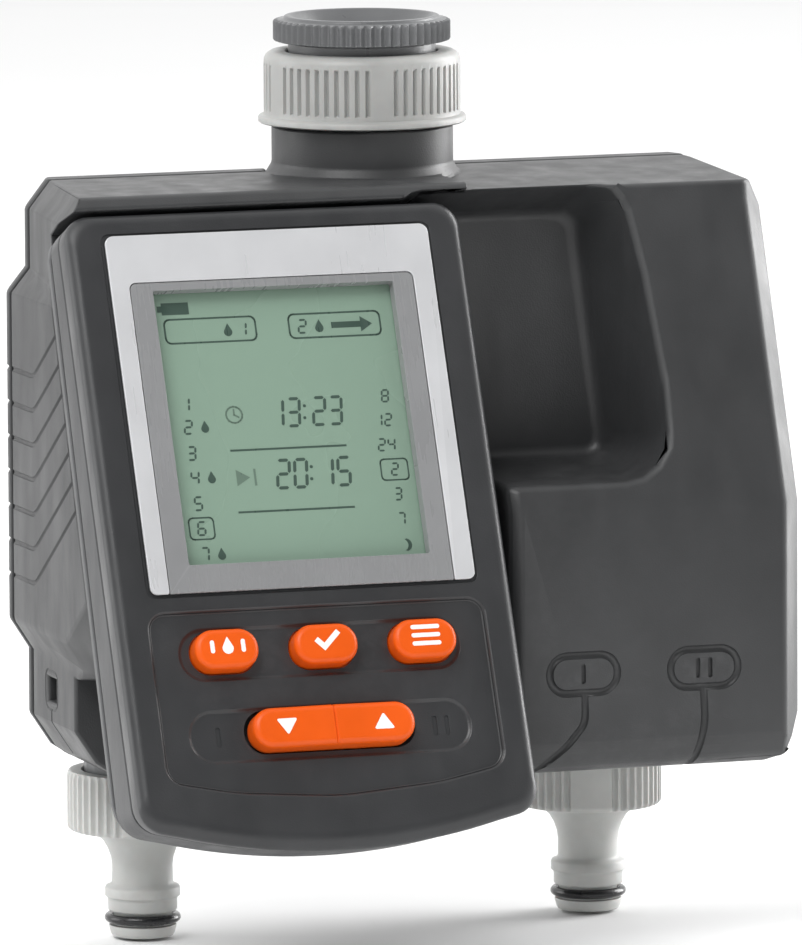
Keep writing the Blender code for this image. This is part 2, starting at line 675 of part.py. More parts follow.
def unit_outline(inset=0.0, rise=0.0, steps=10):
    """Front view of the control unit, with a bowed lower edge that may be lifted."""
    half, top = UNIT_HALF - inset, UNIT_TOP - inset
    low = UNIT_LOW + inset + rise
    centre = low + UNIT_ARC
    corner = 6.0
    reach = half - 6.5
    edge = centre - math.sqrt(UNIT_ARC ** 2 - reach ** 2)
    slope = math.degrees(math.asin(reach / UNIT_ARC))
    points = corner_arc((half - corner, top - corner), corner, 0, 90, 3)
    points += corner_arc((-half + corner, top - corner), corner, 90, 180, 3)
    points += corner_arc((-half + 6.5, edge + 6.5), 6.5, 180, 270 - slope, 3)
    points += corner_arc((0.0, centre), UNIT_ARC, 270 - slope, 270 + slope, steps)[1:-1]
    points += corner_arc((half - 6.5, edge + 6.5), 6.5, 270 + slope, 360, 3)
    return points


def split_depth(z):
    return SHELL_SPLIT + (112.0 - z) * UNIT_TAPER


def back_depth(z):
    return UNIT_BACK + (112.0 - z) * UNIT_TAPER


def at_depth(points, depth):
    """Place outline points at a depth, which may be a function of their height."""
    return [(x, depth(z) if callable(depth) else depth, z) for x, z in points]


def control_front_shell():
    shell = loft("control_front_shell",
                 [at_depth(unit_outline(2.0), 0.0), at_depth(unit_outline(0.5), 0.6),
                  at_depth(unit_outline(), 2.0), at_depth(unit_outline(0.0, 5.0), split_depth)],
                 UNIT, plastic("control_front_shell", ANTHRACITE, 0.38))
    hollow = loft("front_shell_hollow",
                  [at_depth(unit_outline(UNIT_WALL + 0.6), UNIT_WALL),
                   at_depth(unit_outline(UNIT_WALL, 5.0), lambda z: split_depth(z) + 1.0)], UNIT)
    opening = rounded_rectangle(-31.4, 31.4, 34.0, 105.0, 1.5)
    cut(shell, hollow, flat_outline("window_opening", opening, -1.0, 4.0, UNIT))
    cut(shell, flat_outline("button_slot", pill(0.0, 17.4, 65.4, 11.4), -1.0, 0.9, UNIT),
        flat_outline("rocker_slot", pill(0.0, -1.5, 65.6, 11.6), -1.0, 0.9, UNIT))
    for index in (-1, 0, 1):
        hole = pill(index * BUTTON_SPACING + BUTTON_SHIFT, BUTTON_RISE, BUTTON_WIDTH + 0.7,
                    BUTTON_HEIGHT + 0.7)
        cut(shell, flat_outline(f"button_hole_{index}", hole, 0.5, 4.0, UNIT))
    cut(shell, flat_outline("rocker_hole", pill(0.0, ROCKER_RISE, ROCKER_WIDTH + 2.2,
                                                ROCKER_HEIGHT + 0.8), 0.5, 4.0, UNIT))
    for index, (x, z) in enumerate(UNIT_SCREW_PLACES):
        end = split_depth(z)
        join(shell, rod(f"unit_boss_{index}", 3.0, (x, UNIT_WALL - 0.4, z), (x, end - 0.2, z),
                        UNIT, sides=12))
        cut(shell, rod(f"unit_pilot_{index}", 1.5, (x, 5.0, z), (x, end + 1.0, z), UNIT,
                       sides=10))


def control_rear_shell():
    def start(z):
        return split_depth(z) + SEAL_STEP
    shell = loft("control_rear_shell",
                 [at_depth(unit_outline(0.0, 5.3), start),
                  at_depth(unit_outline(0.0, 6.2), lambda z: back_depth(z) - 0.6),
                  at_depth(unit_outline(0.8, 6.5), back_depth)],
                 UNIT, plastic("control_rear_shell", DARK_GREY, 0.42))
    join(shell, battery_bay("bay_outside", 0.0))
    cut(shell, loft("rear_shell_hollow",
                    [at_depth(unit_outline(UNIT_WALL, 5.3), lambda z: start(z) - 1.0),
                     at_depth(unit_outline(UNIT_WALL + 0.3, 6.2), lambda z: back_depth(z) - 1.3)],
                    UNIT),
        block("bay_inside", (-28.2, 10.0, BAY_LOW + 2.0), (28.2, 33.4, BAY_HIGH - 2.0), UNIT),
        block("bay_mouth", (-26.6, 30.0, BAY_LOW + 3.6), (26.6, 40.0, BAY_HIGH - 3.6), UNIT))
    for index, (x, z) in enumerate(UNIT_SCREW_PLACES):
        low, high = start(z) + 0.3, back_depth(z)
        join(shell, rod(f"unit_screw_well_{index}", 4.0, (x, low, z), (x, high - 0.4, z), UNIT,
                        sides=16))
        cut(shell, rod(f"unit_head_well_{index}", 2.9, (x, high - HEAD_SINK, z),
                       (x, high + 5.0, z), UNIT, sides=16),
            rod(f"unit_screw_hole_{index}", 1.7, (x, 10.0, z), (x, high, z), UNIT, sides=12))


def unit_seal():
    """The gasket between the control unit's two shells."""
    def depth_low(z):
        return split_depth(z) + 0.25

    def depth_high(z):
        return split_depth(z) + 0.75
    seal = loft("control_seal", [at_depth(unit_outline(0.6, 5.1), depth_low),
                                 at_depth(unit_outline(0.6, 5.1), depth_high)],
                UNIT, plastic("control_seal", RUBBER, 0.6))
    cut(seal, loft("control_seal_hole",
                   [at_depth(unit_outline(1.9, 5.1), lambda z: split_depth(z) - 0.5),
                    at_depth(unit_outline(1.9, 5.1), lambda z: split_depth(z) + 1.5)], UNIT))


def bezel_and_window():
    """The silver bezel, open at its foot, round the window that masks the display."""
    bezel = flat_outline("display_frame",
                         rounded_rectangle(-BEZEL_HALF, BEZEL_HALF, WINDOW_LOW, BEZEL_TOP, 1.4),
                         -0.9, -0.3, UNIT, plastic("display_frame", (0.62, 0.63, 0.65), 0.3, 0.4))
    inside = rounded_rectangle(-WINDOW_HALF - 0.4, WINDOW_HALF + 0.4, WINDOW_LOW - 5.0,
                               WINDOW_HIGH + 0.4, 1.2)
    cut(bezel, flat_outline("bezel_opening", inside, -2.0, 1.0, UNIT))
    flat_outline("display_window",
                 rounded_rectangle(-WINDOW_HALF, WINDOW_HALF, WINDOW_LOW, WINDOW_HIGH, 1.0),
                 -0.8, -0.3, UNIT, plastic("display_window", (0.32, 0.33, 0.33), 0.25))


def display():
    """The liquid-crystal glass in its carrier, the board and the mat under the keys."""
    block("lcd_glass", (-30.8, LCD_FRONT, 35.2), (30.8, LCD_FRONT + 1.2, 104.2), UNIT,
          plastic("lcd_glass", (0.33, 0.44, 0.34), 0.2))
    block("lcd_carrier", (-33.0, LCD_FRONT + 1.5, 32.5), (33.0, 6.4, 107.0), UNIT,
          plastic("lcd_carrier", WHITE, 0.5))
    board = block("circuit_board", (-40.4, 7.4, -15.5), (40.4, 9.0, 114.0), UNIT,
                  plastic("circuit_board", (0.02, 0.16, 0.06), 0.4))
    for index, (x, z) in enumerate(UNIT_SCREW_PLACES):
        cut(board, rod(f"board_hole_{index}", 3.6, (x, 6.0, z), (x, 11.0, z), UNIT, sides=16))
    block("keypad_mat", (-34.0, 4.6, -9.5), (34.0, 6.6, 26.0), UNIT,
          plastic("keypad_mat", RUBBER, 0.7))


def button(name, x):
    """A pill-shaped key with a collar that keeps it behind the shell."""
    def section(shrink, depth):
        return at_depth(pill(x, BUTTON_RISE, BUTTON_WIDTH - shrink, BUTTON_HEIGHT - shrink), depth)
    key = loft(name, [section(1.6, -2.9), section(0.5, -2.5), section(0.0, -1.6),
                      section(0.0, 2.6)], UNIT, plastic(name, ORANGE, 0.35))
    collar = pill(x, BUTTON_RISE, BUTTON_WIDTH + 2.2, BUTTON_HEIGHT + 2.2)
    join(key, flat_outline(name + "_collar", collar, 2.5, 3.2, UNIT))


def rocker_key():
    """The two-ended key that tips about an upright line through its middle."""
    def section(shrink, depth):
        return at_depth(pill(0.0, ROCKER_RISE, ROCKER_WIDTH - shrink, ROCKER_HEIGHT - shrink),
                        depth)
    key = loft("rocker_key", [section(2.0, -3.4), section(0.6, -2.9), section(0.0, -1.9),
                              section(0.0, 2.8)], UNIT, plastic("rocker_key", ORANGE, 0.35))
    join(key, rod("rocker_pivot", 0.9, (0, ROCKER_PIVOT, ROCKER_RISE - 6.0),
                  (0, ROCKER_PIVOT, ROCKER_RISE + 6.0), UNIT, sides=12))


def battery_and_contacts():
    middle = (BAY_LOW + BAY_HIGH) / 2
    block("battery", (-24.3, 15.0, middle - 13.3), (24.3, 32.4, middle + 13.3), UNIT,
          plastic("battery", (0.05, 0.05, 0.06), 0.3, 0.2), bevel=1.2)
    for side, name in ((-1, "left"), (1, "right")):
        z = middle + side * 6.3
        block(f"battery_contact_{name}", (25.2, 20.0, z - 4.0), (26.4, 29.0, z + 4.0), UNIT,
              plastic(f"battery_contact_{name}", (0.75, 0.72, 0.6), 0.3, 1.0))
    block("battery_cover", (-26.3, 33.8, BAY_LOW + 3.9), (26.3, 36.0, BAY_HIGH - 3.9), UNIT,
          plastic("battery_cover", DARK_GREY, 0.42), bevel=0.4)
    for index, (x, z) in enumerate(UNIT_SCREW_PLACES):
        seat = back_depth(z) - HEAD_SINK + 0.2
        screw(f"control_screw_{index + 1}", 2.5, 1.2, seat - 6.0, (x, seat, z), (0, -1, 0), UNIT)


def dock_contacts():
    """The contact block let into the dock wall, where pads on the unit's back meet it."""
    contacts = block("dock_contact_block", (-8.0, 20.6, 78.0), (8.0, 26.0, 86.0), UNIT,
                     plastic("dock_contact_block", RUBBER, 0.4))
    join(contacts, block("contact_flange", (-10.5, 24.9, 75.5), (10.5, 26.6, 88.5), UNIT))


def cable(name, route):
    """A thin lead along a smooth line through a few points."""
    curve = bpy.data.curves.new(name, "CURVE")
    curve.dimensions = "3D"
    curve.bevel_depth = 0.9 * MM
    curve.bevel_resolution = 1
    curve.use_fill_caps = True
    points = [Vector(p) for p in route]
    ends = [points[0] * 2 - points[1]] + points + [points[-1] * 2 - points[-2]]
    smooth = []
    for before, a, b, after in zip(ends, ends[1:], ends[2:], ends[3:]):
        for step in range(4):
            t = step / 4
            bend = (2 * before - 5 * a + 4 * b - after) * t ** 2
            twist = (3 * a - before - 3 * b + after) * t ** 3
            smooth.append(0.5 * (2 * a + (b - before) * t + bend + twist))
    smooth.append(points[-1])
    spline = curve.splines.new("POLY")
    spline.points.add(len(smooth) - 1)
    for point, place_at in zip(spline.points, smooth):
        point.co = (*(place_at * MM), 1.0)
    obj = bpy.data.objects.new(name, curve)
    obj.parent = FRAME
    PARTS.objects.link(obj)
    curve.materials.append(plastic(name, RUBBER, 0.5))


def coil_cables():
    """The two leads from the solenoid coils to the back of the contact block."""
    reach = OUTLET_X - 13.3
    cable("coil_cable_left", [(-reach, 0.0, 108.0), (-38.0, -4.0, 116.0), (-39.5, -14.0, 126.0),
                              (-39.5, -25.0, 126.0)])
    cable("coil_cable_right", [(reach, 0.0, 108.0), (34.0, -4.0, 122.0), (12.0, -12.5, 132.0),
                               (-12.0, -13.0, 134.0), (-30.0, -16.0, 129.0),
                               (-33.5, -25.0, 126.0)])


# ---------------------------------------------------------------- the whole timer

front_housing()
rear_housing()
housing_seals()
housing_screws()
sensor_socket()
union_nut()
inlet_adapter()
inlet_seals_and_filter()
inlet_manifold()
for outlet_side, outlet_name in ((-1, "left"), (1, "right")):
    valve(outlet_side, outlet_name)
    outlet(outlet_side, outlet_name)
control_front_shell()
control_rear_shell()
unit_seal()
bezel_and_window()
display()
button("button_manual", BUTTON_SHIFT - BUTTON_SPACING)
button("button_ok", BUTTON_SHIFT)
button("button_menu", BUTTON_SHIFT + BUTTON_SPACING)
rocker_key()
battery_and_contacts()
dock_contacts()
coil_cables()
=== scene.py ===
"""Looks of the two-outlet tap timer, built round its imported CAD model.

Lengths in this file are millimetres and heights are counted from the tips of the hose
nipples; MM and the two frames below turn them into metres in the row frame.
"""
import json
import math

import bmesh
import bpy
from mathutils import Matrix, Vector

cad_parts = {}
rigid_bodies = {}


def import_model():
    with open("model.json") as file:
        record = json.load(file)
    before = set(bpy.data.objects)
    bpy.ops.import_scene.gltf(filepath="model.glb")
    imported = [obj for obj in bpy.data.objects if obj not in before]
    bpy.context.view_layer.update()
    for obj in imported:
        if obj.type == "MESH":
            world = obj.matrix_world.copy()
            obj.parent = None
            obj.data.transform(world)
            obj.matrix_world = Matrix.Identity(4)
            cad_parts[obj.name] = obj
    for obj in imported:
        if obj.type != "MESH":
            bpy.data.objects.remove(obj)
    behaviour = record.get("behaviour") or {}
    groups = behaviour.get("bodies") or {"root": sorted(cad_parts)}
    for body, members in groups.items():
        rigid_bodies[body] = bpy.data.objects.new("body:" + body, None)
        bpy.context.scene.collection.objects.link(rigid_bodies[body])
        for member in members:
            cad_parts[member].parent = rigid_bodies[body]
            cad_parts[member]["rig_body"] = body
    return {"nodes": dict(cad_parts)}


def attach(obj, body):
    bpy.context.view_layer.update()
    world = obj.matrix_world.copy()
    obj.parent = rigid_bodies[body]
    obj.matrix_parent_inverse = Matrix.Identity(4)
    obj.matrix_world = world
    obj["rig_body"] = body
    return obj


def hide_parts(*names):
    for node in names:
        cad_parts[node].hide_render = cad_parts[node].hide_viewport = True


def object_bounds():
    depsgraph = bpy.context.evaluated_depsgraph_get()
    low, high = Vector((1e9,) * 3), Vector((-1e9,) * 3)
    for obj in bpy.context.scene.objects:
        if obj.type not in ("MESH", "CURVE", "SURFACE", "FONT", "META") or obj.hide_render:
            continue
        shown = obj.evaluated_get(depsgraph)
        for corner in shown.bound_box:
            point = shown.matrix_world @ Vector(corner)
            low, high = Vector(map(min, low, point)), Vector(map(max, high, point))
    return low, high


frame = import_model()
cad_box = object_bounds()

MM = 0.001
NODES = frame["nodes"]
HOUSING_FRAME = Matrix.Translation((0.0, 0.0, -0.197))
TILT = math.radians(23.0)
UNIT_FRAME = (HOUSING_FRAME @ Matrix.Translation((-0.0368, -0.085, 0.060))
              @ Matrix.Rotation(-TILT, 4, "X"))
OUTLET_X = 54.2


# ------------------------ materials

EDGE_STARTS = 0.53
EDGE_FULL = 0.62


class Graph:
    """A material's node tree, with short calls for the nodes used here."""

    def __init__(self, name):
        self.material = bpy.data.materials.new(name)
        self.material.use_nodes = True
        self.tree = self.material.node_tree
        self.shader = self.tree.nodes["Principled BSDF"]
        self.position = self.node("ShaderNodeTexCoord").outputs["Object"]

    def node(self, kind, **values):
        node = self.tree.nodes.new(kind)
        for key, value in values.items():
            setattr(node, key, value)
        return node

    def link(self, source, target):
        self.tree.links.new(source, target)

    def noise(self, scale, detail=3.0, roughness=0.5, stretch=(1.0, 1.0, 1.0)):
        mapping = self.node("ShaderNodeMapping")
        mapping.inputs["Scale"].default_value = stretch
        self.link(self.position, mapping.inputs["Vector"])
        noise = self.node("ShaderNodeTexNoise")
        noise.inputs["Scale"].default_value = scale
        noise.inputs["Detail"].default_value = detail
        noise.inputs["Roughness"].default_value = roughness
        self.link(mapping.outputs["Vector"], noise.inputs["Vector"])
        return noise.outputs["Fac"]

    def voronoi(self, scale):
        cells = self.node("ShaderNodeTexVoronoi")
        cells.inputs["Scale"].default_value = scale
        self.link(self.position, cells.inputs["Vector"])
        return cells.outputs["Distance"]

    def ramp(self, factor, *stops):
        """A blend between two stops, each a place along it and a colour."""
        ramp = self.node("ShaderNodeValToRGB")
        for element, (place, colour) in zip(ramp.color_ramp.elements, stops):
            element.position = place
            element.color = (*colour, 1.0)
        self.link(factor, ramp.inputs["Fac"])
        return ramp.outputs["Color"]

    def scaled(self, factor, low, high, new_low, new_high):
        """The range from low to high spread over a new range, and held at its ends."""
        node = self.node("ShaderNodeMapRange")
        ends = {"From Min": low, "From Max": high, "To Min": new_low, "To Max": new_high}
        for socket, value in ends.items():
            node.inputs[socket].default_value = value
        self.link(factor, node.inputs["Value"])
        return node.outputs["Result"]

    def mix(self, factor, first, second):
        """Mix two colours; a tuple is a fixed colour and a socket is linked."""
        node = self.node("ShaderNodeMix", data_type="RGBA")
        self.link(factor, node.inputs["Factor"])
        for value, socket in ((first, node.inputs["A"]), (second, node.inputs["B"])):
            if isinstance(value, tuple):
                socket.default_value = (*value, 1.0)
            else:
                self.link(value, socket)
        return node.outputs["Result"]

    def multiply(self, first, second):
        node = self.node("ShaderNodeMath", operation="MULTIPLY")
        self.link(first, node.inputs[0])
        if isinstance(second, float):
            node.inputs[1].default_value = second
        else:
            self.link(second, node.inputs[1])
        return node.outputs[0]

    def edges(self):
        """High on worn outer edges, from the mesh's own curvature."""
        curvature = self.node("ShaderNodeNewGeometry").outputs["Pointiness"]
        return self.scaled(curvature, EDGE_STARTS, EDGE_FULL, 0.0, 1.0)

    def bump(self, height, strength, distance, normal=None):
        node = self.node("ShaderNodeBump")
        node.inputs["Strength"].default_value = strength
        node.inputs["Distance"].default_value = distance
        self.link(height, node.inputs["Height"])
        if normal is not None:
            self.link(normal, node.inputs["Normal"])
        return node.outputs["Normal"]

    def finish(self, colour, roughness, normal=None, **fixed):
        self.link(colour, self.shader.inputs["Base Color"])
        self.link(roughness, self.shader.inputs["Roughness"])
        if normal is not None:
            self.link(normal, self.shader.inputs["Normal"])
        for name, value in fixed.items():
            self.shader.inputs[name.replace("_", " ")].default_value = value
        return self.material


def moulded_plastic(name, colour, rough=0.45, grain=0.35, wear=0.35, dust=0.12, **fixed):
    """Moulded plastic: eroded grain, broad gloss variation, paler worn edges and a trace of dust."""
    g = Graph(name)
    fine, broad = g.noise(2600.0, 2.0), g.noise(38.0, 4.0, 0.6)
    smear = g.noise(140.0, 3.0, 0.55, (1.0, 1.0, 0.25))
    dark = tuple(c * 0.86 for c in colour)
    light = tuple(min(1.0, c * 1.14) for c in colour)
    worn = tuple(min(1.0, c * 1.55 + 0.035) for c in colour)
    dusty = tuple(min(1.0, c * 0.8 + 0.11) for c in colour)
    base = g.ramp(broad, (0.3, dark), (0.7, light))
    upward = g.node("ShaderNodeSeparateXYZ")
    g.link(g.node("ShaderNodeNewGeometry").outputs["Normal"], upward.inputs[0])
    level = g.scaled(upward.outputs["Z"], 0.55, 1.0, 0.0, dust)
    base = g.mix(g.multiply(level, g.scaled(smear, 0.35, 0.7, 0.2, 1.0)), base, dusty)
    patches = g.scaled(g.noise(420.0, 3.0), 0.42, 0.6, 0.1 * wear, wear)
    base = g.mix(g.multiply(g.edges(), patches), base, worn)
    roughness = g.scaled(smear, 0.3, 0.72, rough - 0.07, rough + 0.09)
    normal = g.bump(fine, grain, 0.00012, g.bump(broad, 0.05, 0.0008))
    return g.finish(base, roughness, normal, **fixed)


def glossy_plastic(name, colour, rough=0.2, coat=0.35, **fixed):
    """Polished plastic or lacquer with faint waviness, fine scratches and soft smudges."""
    g = Graph(name)
    broad, wipe = g.noise(55.0, 3.0), g.noise(900.0, 2.0, 0.5, (1.0, 0.06, 0.06))
    dark = tuple(c * 0.93 for c in colour)
    light = tuple(min(1.0, c * 1.06) for c in colour)
    worn = tuple(min(1.0, c * 1.15 + 0.05) for c in colour)
    base = g.ramp(broad, (0.25, dark), (0.75, light))
    base = g.mix(g.multiply(g.edges(), 0.35), base, worn)
    roughness = g.scaled(g.multiply(broad, wipe), 0.1, 0.45, rough - 0.05, rough + 0.1)
    normal = g.bump(wipe, 0.025, 0.00006, g.bump(broad, 0.04, 0.0006))
    return g.finish(base, roughness, normal, Coat_Weight=coat, Coat_Roughness=0.12, **fixed)


def moulded_rubber(name, colour=(0.012, 0.012, 0.013), rough=0.55):
    """Rubber: soft mottling with a fine pebble and a dusty bloom on its edges."""
    g = Graph(name)
    broad, pebble = g.noise(120.0, 4.0, 0.6), g.voronoi(2400.0)
    base = g.ramp(broad, (0.3, colour), (0.75, tuple(c * 2.2 + 0.004 for c in colour)))
    base = g.mix(g.multiply(g.edges(), 0.5), base, (0.06, 0.06, 0.058))
    roughness = g.scaled(broad, 0.3, 0.7, rough - 0.06, rough + 0.14)
    return g.finish(base, roughness, g.bump(pebble, 0.2, 0.0001))


def metal(name, colour, rough=0.28):
    """Bright metal with upright drawn lines and a little tarnish."""
    g = Graph(name)
    lines, tarnish = g.noise(1500.0, 2.0, 0.5, (1.0, 1.0, 0.05)), g.noise(160.0, 4.0, 0.65)
    base = g.ramp(tarnish, (0.3, tuple(c * 0.7 for c in colour)), (0.65, colour))
    roughness = g.scaled(lines, 0.3, 0.7, rough - 0.08, rough + 0.14)
    return g.finish(base, roughness, g.bump(lines, 0.12, 0.00008), Metallic=1.0)


def circuit_material():
    """Green solder resist with copper traces and silvery pads."""
    g = Graph("board_resist")
    brick = g.node("ShaderNodeTexBrick")
    brick.inputs["Scale"].default_value = 90.0
    brick.inputs["Mortar Size"].default_value = 0.03
    brick.inputs["Color1"].default_value = (0.01, 0.11, 0.04, 1.0)
    brick.inputs["Color2"].default_value = (0.015, 0.15, 0.055, 1.0)
    brick.inputs["Mortar"].default_value = (0.05, 0.3, 0.1, 1.0)
    g.link(g.position, brick.inputs["Vector"])
    pads = g.scaled(g.voronoi(260.0), 0.12, 0.16, 1.0, 0.0)
    base = g.mix(pads, brick.outputs["Color"], (0.6, 0.58, 0.5))
    return g.finish(base, g.scaled(pads, 0.0, 1.0, 0.35, 0.22), g.bump(brick.outputs["Fac"], 0.3, 0.0001))


def coil_material():
    """Copper windings under clear tape."""
    g = Graph("coil_winding")
    wave = g.node("ShaderNodeTexWave", wave_type="BANDS", bands_direction="Z")
    wave.inputs["Scale"].default_value = 420.0
    wave.inputs["Distortion"].default_value = 0.4
    g.link(g.position, wave.inputs["Vector"])
    base = g.ramp(wave.outputs["Fac"], (0.2, (0.18, 0.035, 0.012)), (0.8, (0.55, 0.16, 0.05)))
    rough = g.scaled(g.noise(200.0), 0.3, 0.7, 0.28, 0.45)
    return g.finish(base, rough, g.bump(wave.outputs["Fac"], 0.4, 0.0001), Metallic=0.3)


BATTERY_BAND = -0.048


def battery_material():
    """A dark printed metal sleeve with one copper-coloured band at its left end."""
    g = Graph("battery_sleeve")
    split = g.node("ShaderNodeSeparateXYZ")
    g.link(g.position, split.inputs[0])
    band = g.scaled(split.outputs["X"], BATTERY_BAND - 0.0002, BATTERY_BAND + 0.0002, 1.0, 0.0)
    sleeve = g.ramp(g.noise(60.0), (0.3, (0.02, 0.02, 0.022)), (0.7, (0.035, 0.035, 0.04)))
    base = g.mix(band, sleeve, (0.55, 0.25, 0.1))
    rough = g.scaled(g.noise(300.0), 0.3, 0.7, 0.22, 0.4)
    return g.finish(base, rough, g.bump(g.noise(700.0), 0.06, 0.0001), Metallic=0.4)


def lcd_material():
    """Reflective green-grey display ground with a faint cell speckle and slow clouds of tone."""
    g = Graph("lcd_ground")
    speckle, cloud = g.noise(3200.0, 1.0), g.noise(22.0, 3.0)
    base = g.mix(g.scaled(speckle, 0.3, 0.7, 0.0, 0.2), (0.22, 0.322, 0.25), (0.235, 0.34, 0.265))
    base = g.mix(g.scaled(cloud, 0.0, 1.0, 0.0, 0.25), base, (0.25, 0.36, 0.28))
    rough = g.scaled(cloud, 0.0, 1.0, 0.22, 0.32)
    return g.finish(base, rough, g.bump(speckle, 0.02, 0.00005), Coat_Weight=0.5, Coat_Roughness=0.06)


ANTHRACITE = (0.036, 0.037, 0.0385)
M = {
    "housing_front": moulded_plastic("housing_front_plastic", ANTHRACITE, 0.43, 0.4, 0.3),
    "housing_rear": moulded_plastic("housing_rear_plastic", (0.037, 0.038, 0.0395), 0.46, 0.4, 0.3),
    "unit_front": moulded_plastic("unit_front_plastic", (0.031, 0.032, 0.034), 0.36, 0.28, 0.3, 0.05),
    "unit_rear": moulded_plastic("unit_rear_plastic", (0.085, 0.087, 0.09), 0.42, 0.3, 0.3, 0.06),
    # Painted light: the outlets' copy of the light grey plastic is paler than the union nut's copy below, to
    # stand in for the brighter light the outlets catch.
    "light": moulded_plastic("light_grey_plastic", (0.5, 0.505, 0.49), 0.42, 0.25, 0.35, 0.02,
                             Subsurface_Weight=0.05, Subsurface_Scale=0.002),
    "nut": moulded_plastic("union_nut_plastic", (0.36, 0.362, 0.352), 0.42, 0.25, 0.35, 0.02,
                           Subsurface_Weight=0.05, Subsurface_Scale=0.002),
    "adapter": moulded_plastic("adapter_plastic", (0.13, 0.133, 0.137), 0.33, 0.3, 0.4, 0.05),
    "inner": moulded_plastic("inner_plastic", (0.14, 0.145, 0.15), 0.4, 0.25, 0.2, 0.0),
    "white": moulded_plastic("white_plastic", (0.74, 0.74, 0.72), 0.45, 0.2, 0.2, 0.0),
    "silver": glossy_plastic("silver_lacquer", (0.64, 0.645, 0.66), 0.3, 0.25, Metallic=0.25),
    "mask": glossy_plastic("window_mask", (0.235, 0.238, 0.243), 0.26, 0.4),
    "orange": glossy_plastic("orange_plastic", (0.8, 0.1, 0.002), 0.36, 0.04, Specular_IOR_Level=0.3),
    "symbol": glossy_plastic("symbol_print", (0.86, 0.86, 0.84), 0.35, 0.1),
    "lcd": lcd_material(),
    "segment": glossy_plastic("lcd_segment", (0.028, 0.062, 0.045), 0.3, 0.2),
    "faint": glossy_plastic("lcd_faint_segment", (0.1, 0.16, 0.12), 0.3, 0.2),
    "rubber": moulded_rubber("seal_rubber"),
    "o_ring": moulded_rubber("o_ring_rubber", (0.008, 0.008, 0.009), 0.18),
    "socket": moulded_rubber("socket_plastic", (0.02, 0.02, 0.021), 0.42),
    "cable": moulded_rubber("cable_sheath", (0.016, 0.016, 0.017), 0.4),
    "steel": metal("drawn_steel", (0.56, 0.565, 0.57)),
    "brass": metal("contact_brass", (0.78, 0.58, 0.27), 0.25),
    "coil": coil_material(),
    "board": circuit_material(),
    "battery": battery_material(),
}


# ------------------------ mesh helpers

def new_object(name, data):
    obj = bpy.data.objects.new(name, data)
    bpy.context.scene.collection.objects.link(obj)
    return obj


def scene_object(shape, name, at):
    """Turn a bmesh in millimetres into an object that stands in a frame."""
    bmesh.ops.scale(shape, vec=(MM, MM, MM), verts=shape.verts)
    mesh = bpy.data.meshes.new(name)
    shape.to_mesh(mesh)
    shape.free()
    mesh.transform(at)
    return new_object(name, mesh)


def resharpen(obj, angle):
    """Smooth shading that keeps flat faces flat beside their rounded edges."""
    obj.data.shade_smooth()
    obj.data.set_sharp_from_angle(angle=math.radians(angle))
    normals = obj.modifiers.new("flat faces", "WEIGHTED_NORMAL")
    normals.keep_sharp = True
    normals.weight = 100


def finished(shape, name, material, body, at, sharp, replaces=()):
    """Turn a bmesh in millimetres into a piece that rides on a body."""
    bmesh.ops.recalc_face_normals(shape, faces=shape.faces)
    obj = scene_object(shape, name, at)
    obj.data.materials.append(M[material])
    resharpen(obj, sharp)
    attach(obj, body)
    if replaces:
        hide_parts(*replaces)
    return obj


def vertex_loops(shape, sections):
    return [[shape.verts.new(p) for p in section] for section in sections]


def skin_into(shape, loops):
    """Add the faces between neighbouring loops of vertices with equal counts."""
    for first, second in zip(loops, loops[1:]):
        for i in range(len(first)):
            j = (i + 1) % len(first)
            shape.faces.new((first[i], first[j], second[j], second[i]))


def cap_into(shape, loops):
    """Close the first and the last loop."""
    shape.faces.new(list(reversed(loops[0])))
    shape.faces.new(loops[-1])


def loft_into(shape, sections):
    """Add a solid through loops of points."""
    loops = vertex_loops(shape, sections)
    skin_into(shape, loops)
    cap_into(shape, loops)


def ring_into(shape, sections):
    """Add a ring through loops of points, the last joined to the first."""
    loops = vertex_loops(shape, sections)
    skin_into(shape, loops + loops[:1])


def arc(centre, radius, start, end, steps):
    """Points along an arc, with its two angles in degrees."""
    angles = [math.radians(start + (end - start) * i / steps) for i in range(steps + 1)]
    return [(centre[0] + radius * math.cos(a), centre[1] + radius * math.sin(a)) for a in angles]


def rounded(points, radii, steps=5):
    """A closed outline with each corner rounded by its own radius, or by one for all."""
    result = []
    count = len(points)
    for i, (x, z) in enumerate(points):
        radius = radii if isinstance(radii, (int, float)) else radii[i]
        here = Vector((x, z))
        to_before = (Vector(points[i - 1]) - here)
        to_after = (Vector(points[(i + 1) % count]) - here)
        a, b = to_before.normalized(), to_after.normalized()
        half = math.acos(max(-1.0, min(1.0, a.dot(b)))) / 2
        if radius <= 0.0 or half > math.radians(89.0):
            result.append((x, z))
            continue
        cut = min(radius / math.tan(half), 0.48 * to_before.length, 0.48 * to_after.length)
        radius = cut * math.tan(half)
        middle = here + (a + b).normalized() * (radius / math.sin(half))
        first, last = here + a * cut - middle, here + b * cut - middle
        turn = first.angle_signed(last)
        for step in range(steps + 1):
            spun = Matrix.Rotation(-turn * step / steps, 2) @ first
            result.append((middle.x + spun.x, middle.y + spun.y))
    return result


def rectangle(left, right, bottom, top, radius=0.0, steps=5):
    return rounded([(right, top), (left, top), (left, bottom), (right, bottom)], radius, steps)


def pill(x, z, width, height, steps=12):
    """An outline with two round ends, round the point (x, z)."""
    left, right = x - width / 2, x + width / 2
    return rectangle(left, right, z - height / 2, z + height / 2, height / 2 - 0.01, steps)


